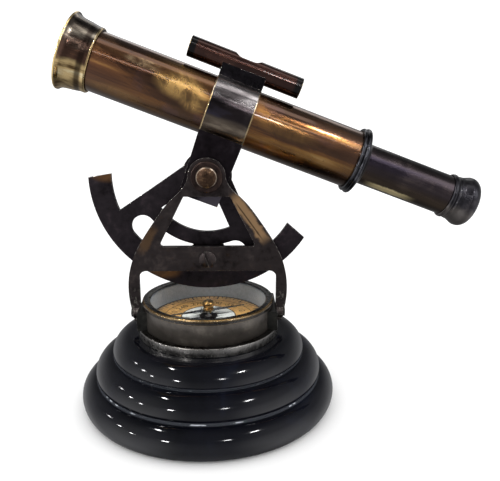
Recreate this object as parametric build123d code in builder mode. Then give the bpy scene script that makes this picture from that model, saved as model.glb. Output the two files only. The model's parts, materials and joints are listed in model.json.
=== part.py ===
"""Desk theodolite: a draw telescope and spirit level on an A-shaped stand over a compass.

Millimetres. The origin is the centre of the underside, +Z is up and +X points to the
eyepiece side. The stand is a flat plate in the XZ plane, and the telescope hangs behind it.
"""

import os
from math import asin, cos, degrees, radians, sin, sqrt

from build123d import *

os.makedirs("parts", exist_ok=True)

# ---------------------------------------------------------------- driving sizes
# turned base
felt_thickness = 1.0
felt_radius = 52.0
tier_radius = (55.6, 49.4, 41.9)
tier_bulge_height = (6.0, 15.6, 24.4)
groove_radius = (48.3, 40.8)
groove_height = (12.6, 22.5)
foot_radius = 54.0
base_top = 31.2
base_shoulder_radius = 32.4

# compass
flange_radius = 30.6
flange_bore = 20.0
flange_top = 35.0
cup_radius = 28.0
cup_bore = 26.2
cup_floor_top = 36.0
cup_top = 44.0
boss_radius = 9.0
bezel_radius = 28.5
bezel_top = 46.2
bezel_opening = 25.1
glass_radius = 25.9
glass_thickness = 1.2
glass_top = 45.6
dial_thickness = 0.6
needle_reach = 17.0
needle_turn = 21.0
needle_height = 39.2

# stand
plate_thickness = 2.5
pivot_height = 98.8
head_radius = 8.0
bar_top = 69.0
bar_bottom = 58.2
leg_inside = 29.6
leg_outside = 34.4
lug_length = 24.0
lug_top = 43.4
foot_screw_height = 39.0

# telescope
tilt = 20.4
axis_above_pivot = 27.6
axis_behind_stand = 10.8
tube_radius = 12.5
tube_wall = 1.0
tube_front = -61.1
tube_back = 58.0
bell_length = 12.3
bell_radius = 16.2
band_width = 19.0
band_wall = 1.3
neck_low_width = 17.2
neck_thickness = 2.8
neck_below_pivot = 11.0
draw_radius = 8.85
draw_wall = 0.9
draw_inner_end = 39.0
cap_start = 101.2
cap_length = 12.6

# slotted sector
sector_radius = 50.1
sector_inner_radius = 24.4
slot_inner_radius = 30.6
slot_outer_radius = 40.4
slot_half_angle = 35.6
sector_half_angle = 73.0
wing_slant = 2.0
sector_thickness = 2.0
sector_lean = 16.0
spoke_half_angle = 39.5
spoke_outer_offset = 8.8
spoke_inner_offset = -0.3
hub_radius = 10.6

# spirit level
level_radius = 4.4
level_bore = 3.4
level_length = 49.2
level_axis_above_tube = 19.6
level_window_length = 11.6
level_window_width = 6.4
vial_radius = 3.1

# pivot and clamp
pivot_radius = 2.5
pivot_head_radius = 4.5
clamp_radius = 2.0
clamp_head_radius = 3.6
clamp_height = 63.3
running_clearance = 0.06
face_gap = 0.35

# ---------------------------------------------------------------- derived places
stand_front = -plate_thickness / 2
stand_back = plate_thickness / 2
neck_front = stand_back + face_gap
neck_back = neck_front + neck_thickness
sector_back = neck_back + sector_thickness
band_radius = tube_radius + band_wall
slot_middle_radius = (slot_inner_radius + slot_outer_radius) / 2
slot_width = slot_outer_radius - slot_inner_radius

along_tube = (cos(radians(tilt)), 0, -sin(radians(tilt)))
across_tube = (sin(radians(tilt)), 0, cos(radians(tilt)))
pivot_point = (0, 0, pivot_height)


def upright(y):
    """A sketch plane facing the front (-Y) at depth y: local x is X and local y is Z."""
    return Plane.XZ.offset(-y)


def tilted(y, lean=tilt):
    """A front-facing plane at depth y, centred on the pivot and leaned to the right."""
    x_dir = (cos(radians(lean)), 0, -sin(radians(lean)))
    return Plane(origin=(0, y, pivot_height), x_dir=x_dir, z_dir=(0, -1, 0))


def beside_tube(height):
    """The plane through the tube axis: local x runs to the eyepiece, local y is radial."""
    origin = (
        across_tube[0] * (axis_above_pivot + height),
        axis_behind_stand,
        pivot_height + across_tube[2] * (axis_above_pivot + height),
    )
    return Plane(origin=origin, x_dir=along_tube, z_dir=(0, -1, 0))


optic = beside_tube(0)
optic_axis = Axis(optic.origin, optic.x_dir)
level_plane = beside_tube(level_axis_above_tube)
level_axis = Axis(level_plane.origin, level_plane.x_dir)


def dome_rise(radius, rise, at_radius):
    """Height of a spherical dome of the given rim radius and rise, measured from its rim."""
    sphere = (radius**2 + rise**2) / (2 * rise)
    return rise - sphere + sqrt(sphere**2 - at_radius**2)


def across_at(distance):
    """A plane square to the tube axis, the given distance towards the eyepiece. Local y is up."""
    origin = optic.origin + optic.x_dir * distance
    return Plane(origin=origin, x_dir=(0, 1, 0), z_dir=along_tube)


# ---------------------------------------------------------------- base
with BuildPart() as wooden_base:
    with BuildSketch(Plane.XZ):
        with BuildLine():
            start = (0, felt_thickness)
            Polyline(start, (foot_radius, felt_thickness))
            previous = (foot_radius, felt_thickness)
            tier_tops = (
                (groove_radius[0], groove_height[0]),
                (groove_radius[1], groove_height[1]),
                (base_shoulder_radius, base_top),
            )
            for bulge_radius, bulge_height, top in zip(tier_radius, tier_bulge_height, tier_tops):
                bulge = (bulge_radius, bulge_height)
                lower_middle = (
                    bulge_radius - 0.3 * (bulge_radius - previous[0]),
                    bulge_height - 0.6 * (bulge_height - previous[1]),
                )
                ThreePointArc(previous, lower_middle, bulge)
                upper_middle = (
                    top[0] + 0.71 * (bulge_radius - top[0]),
                    bulge_height + 0.71 * (top[1] - bulge_height),
                )
                ThreePointArc(bulge, upper_middle, top)
                previous = top
            Polyline(previous, (0, base_top), start)
        make_face()
    revolve(axis=Axis.Z)
    Cylinder(
        pivot_radius + running_clearance,
        base_top,
        align=(Align.CENTER, Align.CENTER, Align.MIN),
        mode=Mode.SUBTRACT,
    )
    with Locations((0, 0, felt_thickness)):
        Cylinder(8, 9, align=(Align.CENTER, Align.CENTER, Align.MIN), mode=Mode.SUBTRACT)
wooden_base.part.label = "wooden_base"

with BuildPart() as felt_pad:
    Cylinder(felt_radius, felt_thickness, align=(Align.CENTER, Align.CENTER, Align.MIN))
felt_pad.part.label = "felt_pad"

bolt_seat = felt_thickness + 9
with BuildPart() as base_washer:
    with BuildSketch(Plane.XY.offset(bolt_seat - 1.05)):
        Circle(7)
        Circle(pivot_radius, mode=Mode.SUBTRACT)
    extrude(amount=1.0)
base_washer.part.label = "base_washer"

with BuildPart() as base_bolt:
    with BuildSketch(Plane.XY.offset(bolt_seat - 5.05)):
        RegularPolygon(5, 6)
    extrude(amount=4.0)
    with BuildSketch(Plane.XY.offset(bolt_seat - 1.05)):
        Circle(pivot_radius)
    extrude(amount=cup_floor_top - 0.8 - bolt_seat + 1.05)
base_bolt.part.label = "base_bolt"

# ---------------------------------------------------------------- compass
with BuildPart() as flange_ring:
    with BuildSketch(Plane.XY.offset(base_top)):
        Circle(flange_radius)
        Circle(flange_bore, mode=Mode.SUBTRACT)
    extrude(amount=flange_top - base_top)
    top_circles = flange_ring.edges().filter_by(GeomType.CIRCLE).group_by(Axis.Z)[-1]
    chamfer(top_circles.sort_by(SortBy.RADIUS)[-1], 0.25)
flange_ring.part.label = "flange_ring"

with BuildPart() as compass_cup:
    with BuildSketch(Plane.XY.offset(flange_top)):
        Circle(cup_radius)
    extrude(amount=cup_top - flange_top)
    with BuildSketch(Plane.XY.offset(cup_floor_top)):
        Circle(cup_bore)
    extrude(amount=cup_top - cup_floor_top, mode=Mode.SUBTRACT)
    with BuildSketch(Plane.XY.offset(base_top + 0.05)):
        Circle(boss_radius)
    extrude(amount=flange_top - base_top - 0.05)
    with BuildSketch(Plane.XY.offset(base_top)):
        Circle(pivot_radius)
    extrude(amount=cup_floor_top - 0.8 - base_top, mode=Mode.SUBTRACT)
    with BuildSketch(Plane.XY.offset(cup_floor_top - 0.5)):
        Circle(0.5)
    extrude(amount=0.5, mode=Mode.SUBTRACT)
    for side in (-1, 1):
        with BuildSketch(Plane.YZ.offset(side * (cup_bore + 0.5))):
            with Locations((0, foot_screw_height)):
                Circle(1.0)
        extrude(amount=side * 3, mode=Mode.SUBTRACT)
compass_cup.part.label = "compass_cup"

with BuildPart() as compass_dial:
    with BuildSketch(Plane.XY.offset(cup_floor_top)):
        Circle(cup_bore)
        Circle(1.5, mode=Mode.SUBTRACT)
    extrude(amount=dial_thickness)
compass_dial.part.label = "compass_dial"

pin_top = glass_top - glass_thickness - 1.7
with BuildPart() as needle_pin:
    with BuildSketch(Plane.XZ):
        with BuildLine():
            Polyline(
                (0, cup_floor_top - 0.5),
                (0.5, cup_floor_top - 0.5),
                (0.5, cup_floor_top),
                (1.5, cup_floor_top),
                (1.5, cup_floor_top + dial_thickness),
                (0.5, cup_floor_top + dial_thickness + 0.5),
                (0.5, pin_top - 0.6),
                (0, pin_top),
                close=True,
            )
        make_face()
    revolve(axis=Axis.Z)
needle_pin.part.label = "needle_pin"

with BuildPart() as compass_needle:
    with BuildSketch(Plane.XY.offset(needle_height).rotated((0, 0, needle_turn))):
        Polygon((-needle_reach, 0), (0, -1.9), (needle_reach, 0), (0, 1.9), align=None)
        Circle(1.6, mode=Mode.SUBTRACT)
    extrude(amount=0.4)
compass_needle.part.label = "compass_needle"

knob_radius = 2.65
knob_top = glass_top - glass_thickness - 0.4
knob_rim = needle_height + 2.8
with BuildPart() as needle_cap:
    with BuildSketch(Plane.XZ):
        with BuildLine():
            Polyline(
                (0.6, needle_height - 0.6),
                (1.6, needle_height - 0.6),
                (1.6, needle_height + 0.4),
                (2.4, needle_height + 0.4),
                (2.4, needle_height + 0.8),
                (1.9, needle_height + 1.0),
                (knob_radius, needle_height + 1.9),
                (knob_radius, knob_rim),
            )
            ThreePointArc(
                (knob_radius, knob_rim),
                (1.4, knob_rim + dome_rise(knob_radius, knob_top - knob_rim, 1.4)),
                (0, knob_top),
            )
            Polyline(
                (0, knob_top),
                (0, pin_top + 0.1),
                (0.6, pin_top - 0.4),
                (0.6, needle_height - 0.6),
            )
        make_face()
    revolve(axis=Axis.Z)
needle_cap.part.label = "needle_cap"

with BuildPart() as glass_seat_ring:
    with BuildSketch(Plane.XY.offset(cup_floor_top + dial_thickness)):
        Circle(cup_bore)
        Circle(cup_bore - 1.0, mode=Mode.SUBTRACT)
    extrude(amount=cup_top - cup_floor_top - dial_thickness)
    with BuildSketch(Plane.XY.offset(cup_top)):
        Circle(glass_radius)
        Circle(cup_bore - 1.0, mode=Mode.SUBTRACT)
    extrude(amount=glass_top - glass_thickness - cup_top)
glass_seat_ring.part.label = "glass_seat_ring"

with BuildPart() as compass_glass:
    with BuildSketch(Plane.XY.offset(glass_top - glass_thickness)):
        Circle(glass_radius)
    extrude(amount=glass_thickness)
compass_glass.part.label = "compass_glass"

with BuildPart() as bezel_ring:
    with BuildSketch(Plane.XZ):
        with BuildLine():
            Polyline(
                (glass_radius, glass_top),
                (glass_radius, cup_top),
                (bezel_radius - 0.2, cup_top),
                (bezel_radius - 0.2, cup_top + 0.9),
                (bezel_radius, cup_top + 1.1),
                (bezel_radius, bezel_top - 0.5),
            )
            ThreePointArc(
                (bezel_radius, bezel_top - 0.5),
                (bezel_radius - 0.15, bezel_top - 0.15),
                (bezel_radius - 0.5, bezel_top),
            )
            Polyline(
                (bezel_radius - 0.5, bezel_top),
                (bezel_opening + 0.7, bezel_top),
                (bezel_opening, bezel_top - 0.4),
                (bezel_opening, glass_top),
                (glass_radius, glass_top),
            )
        make_face()
    revolve(axis=Axis.Z)
bezel_ring.part.label = "bezel_ring"


def make_lug(side):
    """One side lug: a flat pad against the cup wall, with a screw hole."""
    with BuildPart() as lug:
        with BuildSketch(Plane.XY.offset(flange_top)):
            with Locations((side * leg_inside / 2, 0)):
                Rectangle(leg_inside, lug_length)
            Circle(cup_radius, mode=Mode.SUBTRACT)
            with Locations((-side * leg_inside / 2, 0)):
                Rectangle(leg_inside, 2 * leg_inside, mode=Mode.SUBTRACT)
        extrude(amount=lug_top - flange_top)
        outer_face = lug.faces().sort_by(Axis.X)[-1 if side > 0 else 0]
        fillet(outer_face.edges().filter_by(Axis.Y).sort_by(Axis.Z)[-1], 0.8)
        with BuildSketch(Plane.YZ.offset(side * cup_bore)):
            with Locations((0, foot_screw_height)):
                Circle(1.0)
        extrude(amount=side * 6, mode=Mode.SUBTRACT)
    return lug


left_lug = make_lug(-1)
left_lug.part.label = "left_lug"
right_lug = make_lug(1)
right_lug.part.label = "right_lug"

# ---------------------------------------------------------------- stand
foot_outside = leg_outside - 1.6
foot_bottom = flange_top + 0.4
neck_of_head = pivot_height - 0.4
leg_outline = (
    (head_radius - 0.05, neck_of_head),
    (8.9, 96.0),
    (11.0, 93.1),
    (14.6, 89.7),
    (22.4, 80.0),
    (28.2, 71.2),
    (32.4, 62.4),
    (leg_outside, 51.5),
    (leg_outside - 0.3, 44.8),
    (foot_outside, 38.5),
)
with BuildPart() as a_frame:
    with BuildSketch(upright(stand_back)):
        with BuildLine():
            Line((0, neck_of_head), leg_outline[0])
            Spline(*leg_outline)
            Polyline(
                leg_outline[-1],
                (foot_outside - 0.5, foot_bottom),
                (leg_inside, foot_bottom),
                (leg_inside, bar_bottom),
                (0, bar_bottom),
                (0, neck_of_head),
            )
        make_face()
        with BuildLine():
            Polyline(
                (0, 90.6),
                (9.8, 90.6),
                (20.7, bar_top),
                (0, bar_top),
                close=True,
            )
        make_face(mode=Mode.SUBTRACT)
        mirror(about=Plane.YZ)
        with Locations((0, pivot_height)):
            Circle(head_radius)
        with Locations((0, pivot_height)):
            Circle(pivot_radius, mode=Mode.SUBTRACT)
        with Locations((0, clamp_height)):
            Circle(clamp_radius + running_clearance, mode=Mode.SUBTRACT)
    extrude(amount=plate_thickness)
    corners = a_frame.edges().filter_by(Axis.Y)
    leg_corners = corners.filter_by_position(Axis.Z, bar_bottom - 0.1, bar_bottom + 0.1)
    window_corners = corners.filter_by_position(Axis.Z, bar_top - 0.1, bar_top + 0.1)
    fillet(leg_corners, 3.0)
    fillet(window_corners, 1.0)
    for side in (-1, 1):
        with BuildSketch(Plane.YZ.offset(side * leg_inside)):
            with Locations((0, foot_screw_height)):
                Circle(2.6)
        extrude(amount=side * (foot_outside - leg_inside))
        with BuildSketch(Plane.YZ.offset(side * foot_outside)):
            with Locations((0, foot_screw_height)):
                Circle(2.2)
        extrude(amount=side * 3, mode=Mode.SUBTRACT)
        with BuildSketch(Plane.YZ.offset(side * leg_inside)):
            with Locations((0, foot_screw_height)):
                Circle(1.0)
        extrude(amount=side * 6, mode=Mode.SUBTRACT)
a_frame.part.label = "a_frame"

with BuildPart() as foot_screws:
    for side in (-1, 1):
        with BuildSketch(Plane.YZ.offset(side * foot_outside)):
            with Locations((0, foot_screw_height)):
                Circle(2.0)
        extrude(amount=side * 0.9)
        with BuildSketch(Plane.YZ.offset(side * (cup_bore + 0.5))):
            with Locations((0, foot_screw_height)):
                Circle(1.0)
        extrude(amount=side * (foot_outside - cup_bore - 0.5))
        with BuildSketch(Plane.YZ.offset(side * (foot_outside + 0.9))):
            with Locations((0, foot_screw_height)):
                Rectangle(4.4, 0.5, rotation=25)
        extrude(amount=-side * 0.4, mode=Mode.SUBTRACT)
foot_screws.part.label = "foot_screws"

# ---------------------------------------------------------------- pivot and clamp
washer_thickness = 0.8
with BuildPart() as pivot_washer:
    with BuildSketch(upright(stand_front)):
        with Locations((0, pivot_height)):
            Circle(6.6)
            Circle(pivot_radius, mode=Mode.SUBTRACT)
    extrude(amount=washer_thickness)
    chamfer(pivot_washer.faces().sort_by(Axis.Y)[0].outer_wire().edges(), 0.3)
pivot_washer.part.label = "pivot_washer"

head_seat = stand_front - washer_thickness
rear_seat = sector_back + face_gap
head_rim = head_seat - 0.7
with BuildPart() as pivot_screw:
    with BuildSketch(Plane.YZ):
        with BuildLine():
            Polyline(
                (head_seat, pivot_height),
                (head_seat, pivot_height + pivot_head_radius),
                (head_rim, pivot_height + pivot_head_radius),
            )
            ThreePointArc(
                (head_rim, pivot_height + pivot_head_radius),
                (head_rim - dome_rise(pivot_head_radius, 1.3, 2.2), pivot_height + 2.2),
                (head_rim - 1.3, pivot_height),
            )
            Line((head_rim - 1.3, pivot_height), (head_seat, pivot_height))
        make_face()
    revolve(axis=Axis(pivot_point, (0, 1, 0)))
    with BuildSketch(upright(head_seat)):
        with Locations((0, pivot_height)):
            Circle(pivot_radius)
    extrude(amount=head_seat - rear_seat - 4.0)
pivot_screw.part.label = "pivot_screw"

with BuildPart() as pivot_nut:
    with BuildSketch(upright(rear_seat)):
        with Locations((0, pivot_height)):
            RegularPolygon(4.6, 6)
            Circle(pivot_radius, mode=Mode.SUBTRACT)
    extrude(amount=-3.0)
pivot_nut.part.label = "pivot_nut"

with BuildPart() as clamp_collar:
    with BuildSketch(upright(stand_back)):
        with Locations((0, clamp_height)):
            Circle(slot_width / 2 - 0.3)
            Circle(clamp_radius + running_clearance, mode=Mode.SUBTRACT)
    extrude(amount=stand_back - sector_back - face_gap)
clamp_collar.part.label = "clamp_collar"

with BuildPart() as clamp_washer:
    with BuildSketch(upright(rear_seat)):
        with Locations((0, clamp_height)):
            Circle(8.2)
            Circle(clamp_radius + running_clearance, mode=Mode.SUBTRACT)
    extrude(amount=-1.2)
clamp_washer.part.label = "clamp_washer"

with BuildPart() as clamp_nut:
    with BuildSketch(upright(rear_seat + 1.2)):
        with Locations((0, clamp_height)):
            RegularPolygon(4.2, 6)
            Circle(clamp_radius + running_clearance, mode=Mode.SUBTRACT)
    extrude(amount=-2.4)
clamp_nut.part.label = "clamp_nut"

clamp_head_seat = stand_front - 0.05
clamp_rim = clamp_head_seat - 0.5
with BuildPart() as clamp_screw:
    with BuildSketch(Plane.YZ):
        with BuildLine():
            Polyline(
                (clamp_head_seat, clamp_height),
                (clamp_head_seat, clamp_height + clamp_head_radius),
                (clamp_rim, clamp_height + clamp_head_radius),
            )
            ThreePointArc(
                (clamp_rim, clamp_height + clamp_head_radius),
                (clamp_rim - dome_rise(clamp_head_radius, 0.8, 1.8), clamp_height + 1.8),
                (clamp_rim - 0.8, clamp_height),
            )
            Line((clamp_rim - 0.8, clamp_height), (clamp_head_seat, clamp_height))
        make_face()
    revolve(axis=Axis((0, 0, clamp_height), (0, 1, 0)))
    with BuildSketch(upright(clamp_head_seat)):
        with Locations((0, clamp_height)):
            Circle(clamp_radius)
    extrude(amount=clamp_head_seat - rear_seat - 4.4)
    with BuildSketch(upright(clamp_rim - 0.9)):
        with Locations((0, clamp_height)):
            Rectangle(1.0, 2 * clamp_head_radius + 0.4, rotation=18)
    extrude(amount=-0.9, mode=Mode.SUBTRACT)
clamp_screw.part.label = "clamp_screw"

# ---------------------------------------------------------------- slotted sector
wing_start = -90 - sector_half_angle
wing_span = 2 * sector_half_angle
spoke_reach = sector_inner_radius + 2.0
spoke_edge_turn = degrees(asin(spoke_outer_offset / slot_outer_radius))
shoulder_half_angle = spoke_half_angle + spoke_edge_turn
slot_path = CenterArc((0, 0), slot_middle_radius, -90 - slot_half_angle, 2 * slot_half_angle)


def polar(radius, angle):
    return (radius * cos(radians(angle)), radius * sin(radians(angle)))


with BuildPart() as sector_arc:
    with BuildSketch(tilted(sector_back, sector_lean)):
        with BuildLine():
            inner_start = wing_start - wing_slant
            inner_span = wing_span + 2 * wing_slant
            CenterArc((0, 0), sector_radius, wing_start, wing_span)
            Line(polar(sector_radius, wing_start), polar(slot_outer_radius, inner_start))
            CenterArc((0, 0), slot_outer_radius, inner_start, inner_span)
            Line(
                polar(sector_radius, wing_start + wing_span),
                polar(slot_outer_radius, inner_start + inner_span),
            )
        make_face()
        with BuildLine():
            shoulder_start = -90 - shoulder_half_angle
            inner_turn = spoke_half_angle + degrees(asin(spoke_outer_offset / sector_inner_radius))
            CenterArc((0, 0), slot_outer_radius + 1, shoulder_start, 2 * shoulder_half_angle)
            Line(polar(slot_outer_radius + 1, shoulder_start), polar(sector_inner_radius, -90 - inner_turn))
            CenterArc((0, 0), sector_inner_radius, -90 - inner_turn, 2 * inner_turn)
            Line(
                polar(sector_inner_radius, -90 + inner_turn),
                polar(slot_outer_radius + 1, -90 + shoulder_half_angle),
            )
        make_face()
        for side in (-1, 1):
            spoke_angle = -90 + side * spoke_half_angle
            with Locations(Location((0, 0, 0), (0, 0, spoke_angle))):
                Polygon(
                    (0, side * spoke_inner_offset),
                    (spoke_reach, side * spoke_inner_offset),
                    (spoke_reach - 2.5, side * spoke_outer_offset),
                    (0, side * spoke_outer_offset),
                    align=None,
                )
        Circle(hub_radius)
        SlotArc(slot_path, slot_width, mode=Mode.SUBTRACT)
        Circle(pivot_radius + running_clearance, mode=Mode.SUBTRACT)
        with Locations((0, 6.0), (0, -6.0)):
            Circle(1.2, mode=Mode.SUBTRACT)
    extrude(amount=sector_thickness)
sector_arc.part.label = "sector_arc"

with BuildPart() as sector_rivets:
    with BuildSketch(tilted(sector_back + 0.6, sector_lean)):
        with Locations((0, 6.0), (0, -6.0)):
            Circle(1.2)
    extrude(amount=sector_back + 0.6 - neck_front)
sector_rivets.part.label = "sector_rivets"

# ---------------------------------------------------------------- clamp band and neck
with BuildPart() as clamp_band:
    with BuildSketch(optic):
        with Locations((0, tube_radius + band_wall / 2)):
            Rectangle(band_width, band_wall)
    revolve(axis=optic_axis)
clamp_band.part.label = "clamp_band"

with BuildPart() as neck_plate:
    with BuildSketch(tilted(neck_back)):
        with BuildLine():
            Polyline(
                (-neck_low_width / 2, -neck_below_pivot),
                (neck_low_width / 2, -neck_below_pivot),
                (band_width / 2, 15.0),
                (band_width / 2, axis_above_pivot),
                (-band_width / 2, axis_above_pivot),
                (-band_width / 2, 15.0),
                close=True,
            )
        make_face()
        Circle(pivot_radius + running_clearance, mode=Mode.SUBTRACT)
    extrude(amount=neck_thickness)
    with BuildSketch(across_at(-band_width)):
        Circle(band_radius)
    extrude(amount=2 * band_width, mode=Mode.SUBTRACT)
    with BuildSketch(tilted(neck_back, sector_lean)):
        with Locations((0, 6.0), (0, -6.0)):
            Circle(1.2)
    extrude(amount=neck_thickness, mode=Mode.SUBTRACT)
neck_plate.part.label = "neck_plate"

# ---------------------------------------------------------------- telescope body
with BuildPart() as main_tube:
    with BuildSketch(optic):
        with Locations(((tube_front + tube_back) / 2, tube_radius - tube_wall / 2)):
            Rectangle(tube_back - tube_front, tube_wall)
    revolve(axis=optic_axis)
main_tube.part.label = "main_tube"

bell_back = tube_front + 2.4
bell_front = bell_back - bell_length
lens_front = bell_front + 7.2
lens_radius = 11.9
with BuildPart() as objective_bell:
    with BuildSketch(optic):
        with BuildLine():
            Polyline(
                (bell_back, tube_radius),
                (bell_back, tube_radius + 0.9),
                (bell_back - 0.5, tube_radius + 1.2),
                (bell_back - 2.2, tube_radius + 1.2),
            )
            Spline(
                (bell_back - 2.2, tube_radius + 1.2),
                (bell_front + 7.5, tube_radius + 1.65),
                (bell_front + 4.0, tube_radius + 2.1),
                (bell_front + 2.2, tube_radius + 2.6),
                (bell_front + 1.02, bell_radius - 0.18),
            )
            ThreePointArc(
                (bell_front + 1.02, bell_radius - 0.18),
                (bell_front + 0.25, bell_radius - 0.12),
                (bell_front + 0.04, bell_radius - 0.8),
            )
            Spline(
                (bell_front + 0.04, bell_radius - 0.8),
                (bell_front + 1.4, bell_radius - 1.8),
                (bell_front + 3.6, 13.0),
                (bell_front + 6.4, 11.2),
            )
            Polyline(
                (bell_front + 6.4, 11.2),
                (lens_front, 11.2),
                (lens_front, lens_radius),
                (tube_front, lens_radius),
                (tube_front, tube_radius),
                (bell_back, tube_radius),
            )
        make_face()
    revolve(axis=optic_axis)
objective_bell.part.label = "objective_bell"

with BuildPart() as objective_lens:
    with BuildSketch(optic):
        with BuildLine():
            Polyline(
                (lens_front - 0.6, 0),
                (tube_front, 0),
                (tube_front, lens_radius),
                (lens_front, lens_radius),
                (lens_front, 11.2),
            )
            ThreePointArc(
                (lens_front, 11.2),
                (lens_front - dome_rise(11.2, 0.6, 5.6), 5.6),
                (lens_front - 0.6, 0),
            )
        make_face()
    revolve(axis=optic_axis)
objective_lens.part.label = "objective_lens"

with BuildPart() as lens_ring:
    with BuildSketch(optic):
        with Locations((tube_front + 1.25, tube_radius - tube_wall - 0.75)):
            Rectangle(2.5, 1.5)
    revolve(axis=optic_axis)
lens_ring.part.label = "lens_ring"

ferrule_front = tube_back - 1.8
ferrule_back = tube_back + 3.7
guide_front = tube_back - 13.0
guide_bore = draw_radius + running_clearance
with BuildPart() as rear_ferrule:
    with BuildSketch(optic):
        with BuildLine():
            Polyline(
                (guide_front, guide_bore),
                (guide_front, tube_radius - tube_wall),
                (tube_back, tube_radius - tube_wall),
                (tube_back, tube_radius),
                (ferrule_front, tube_radius),
                (ferrule_front, tube_radius + 1.0),
            )
            ThreePointArc(
                (ferrule_front, tube_radius + 1.0),
                (ferrule_front + 0.8, tube_radius + 1.6),
                (ferrule_front + 1.6, tube_radius + 1.0),
            )
            ThreePointArc(
                (ferrule_front + 1.6, tube_radius + 1.0),
                (ferrule_front + 2.6, tube_radius + 2.0),
                (ferrule_front + 3.6, tube_radius + 1.0),
            )
            Polyline(
                (ferrule_front + 3.6, tube_radius + 1.0),
                (ferrule_front + 4.0, tube_radius - 0.4),
                (ferrule_back - 0.6, draw_radius + 1.1),
                (ferrule_back, draw_radius + 0.7),
                (ferrule_back, guide_bore),
                (guide_front, guide_bore),
            )
        make_face()
    revolve(axis=optic_axis)
rear_ferrule.part.label = "rear_ferrule"

# ---------------------------------------------------------------- spirit level
saddle_half_depth = 4.2
with BuildPart() as level_saddle:
    with BuildSketch(across_at(-band_width / 2)):
        with Locations((0, band_radius + 2.0)):
            Rectangle(2 * saddle_half_depth, 8.0)
        Circle(band_radius, mode=Mode.SUBTRACT)
        with Locations((0, level_axis_above_tube)):
            Circle(level_radius, mode=Mode.SUBTRACT)
        with Locations((0, level_axis_above_tube + 4.0)):
            Rectangle(3 * level_radius, 8.0, mode=Mode.SUBTRACT)
    extrude(amount=band_width)
level_saddle.part.label = "level_saddle"

above_level = Plane(
    origin=level_plane.origin + Vector(*across_tube) * 0.8,
    x_dir=along_tube,
    z_dir=across_tube,
)
with BuildPart() as level_tube:
    with BuildSketch(level_plane):
        with Locations((0, (level_radius + level_bore) / 2)):
            Rectangle(level_length, level_radius - level_bore)
    revolve(axis=level_axis)
    with BuildSketch(above_level):
        SlotOverall(level_window_length, level_window_width)
    extrude(amount=level_radius, mode=Mode.SUBTRACT)
level_tube.part.label = "level_tube"

plug_depth = 4.0
with BuildPart() as level_end_plugs:
    with BuildSketch(level_plane):
        for side in (-1, 1):
            with Locations((side * (level_length / 2 - plug_depth / 2 - 0.4), level_bore / 2)):
                Rectangle(plug_depth, level_bore)
    revolve(axis=level_axis)
level_end_plugs.part.label = "level_end_plugs"

vial_length = level_length - 2 * plug_depth - 0.8
with BuildPart() as level_vial:
    with BuildSketch(level_plane):
        with Locations((0, vial_radius / 2)):
            Rectangle(vial_length, vial_radius)
    revolve(axis=level_axis)
level_vial.part.label = "level_vial"

# ---------------------------------------------------------------- draw tube and eyepiece
draw_back = cap_start + 3.0
with BuildPart() as draw_tube:
    with BuildSketch(optic):
        with Locations(((draw_inner_end + draw_back) / 2, draw_radius - draw_wall / 2)):
            Rectangle(draw_back - draw_inner_end, draw_wall)
    revolve(axis=optic_axis)
draw_tube.part.label = "draw_tube"

with BuildPart() as draw_stop_ring:
    with BuildSketch(optic):
        with Locations((draw_inner_end + 1.2, draw_radius + 0.9)):
            Rectangle(2.4, 1.8)
    revolve(axis=optic_axis)
draw_stop_ring.part.label = "draw_stop_ring"

cap_end = cap_start + cap_length
eye_lens_radius = 7.2
eye_lens_back = cap_start + 8.8
with BuildPart() as eyepiece_cap:
    with BuildSketch(optic):
        with BuildLine():
            Polyline(
                (cap_start, draw_radius),
                (cap_start, draw_radius + 0.4),
            )
            ThreePointArc(
                (cap_start, draw_radius + 0.4),
                (cap_start + 1.1, draw_radius + 1.0),
                (cap_start + 2.2, draw_radius + 0.6),
            )
            Polyline(
                (cap_start + 2.2, draw_radius + 0.6),
                (cap_start + 2.5, draw_radius + 0.3),
                (cap_start + 2.9, draw_radius + 0.3),
                (cap_start + 3.2, draw_radius + 0.7),
            )
            Spline(
                (cap_start + 3.2, draw_radius + 0.7),
                (cap_start + 5.2, draw_radius + 0.9),
                (cap_start + 6.8, draw_radius + 1.6),
                (cap_start + 8.6, draw_radius + 2.1),
                (cap_start + 10.4, draw_radius + 1.9),
                (cap_start + 11.8, draw_radius + 1.0),
                (cap_end, draw_radius - 0.5),
            )
            Polyline(
                (cap_end, draw_radius - 0.5),
                (cap_end, draw_radius - 1.3),
                (cap_start + 10.6, 4.6),
                (eye_lens_back, 4.6),
                (eye_lens_back, eye_lens_radius),
                (draw_back, eye_lens_radius),
                (draw_back, draw_radius),
                (cap_start, draw_radius),
            )
        make_face()
    revolve(axis=optic_axis)
eyepiece_cap.part.label = "eyepiece_cap"

with BuildPart() as eyepiece_lens:
    with BuildSketch(optic):
        with BuildLine():
            Line((eye_lens_back - 3.2, 0), (eye_lens_back + 0.6, 0))
            ThreePointArc(
                (eye_lens_back + 0.6, 0),
                (eye_lens_back + dome_rise(4.4, 0.6, 2.2), 2.2),
                (eye_lens_back, 4.4),
            )
            Polyline(
                (eye_lens_back, 4.4),
                (eye_lens_back, eye_lens_radius),
                (eye_lens_back - 2.4, eye_lens_radius),
                (eye_lens_back - 2.4, 5.8),
            )
            ThreePointArc(
                (eye_lens_back - 2.4, 5.8),
                (eye_lens_back - 2.4 - dome_rise(5.8, 0.8, 2.9), 2.9),
                (eye_lens_back - 3.2, 0),
            )
        make_face()
    revolve(axis=optic_axis)
eyepiece_lens.part.label = "eyepiece_lens"

with BuildPart() as eyepiece_lens_ring:
    with BuildSketch(optic):
        with Locations((draw_back + 1.7, eye_lens_radius - 0.6)):
            Rectangle(3.0, 1.2)
    revolve(axis=optic_axis)
eyepiece_lens_ring.part.label = "eyepiece_lens_ring"

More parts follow.
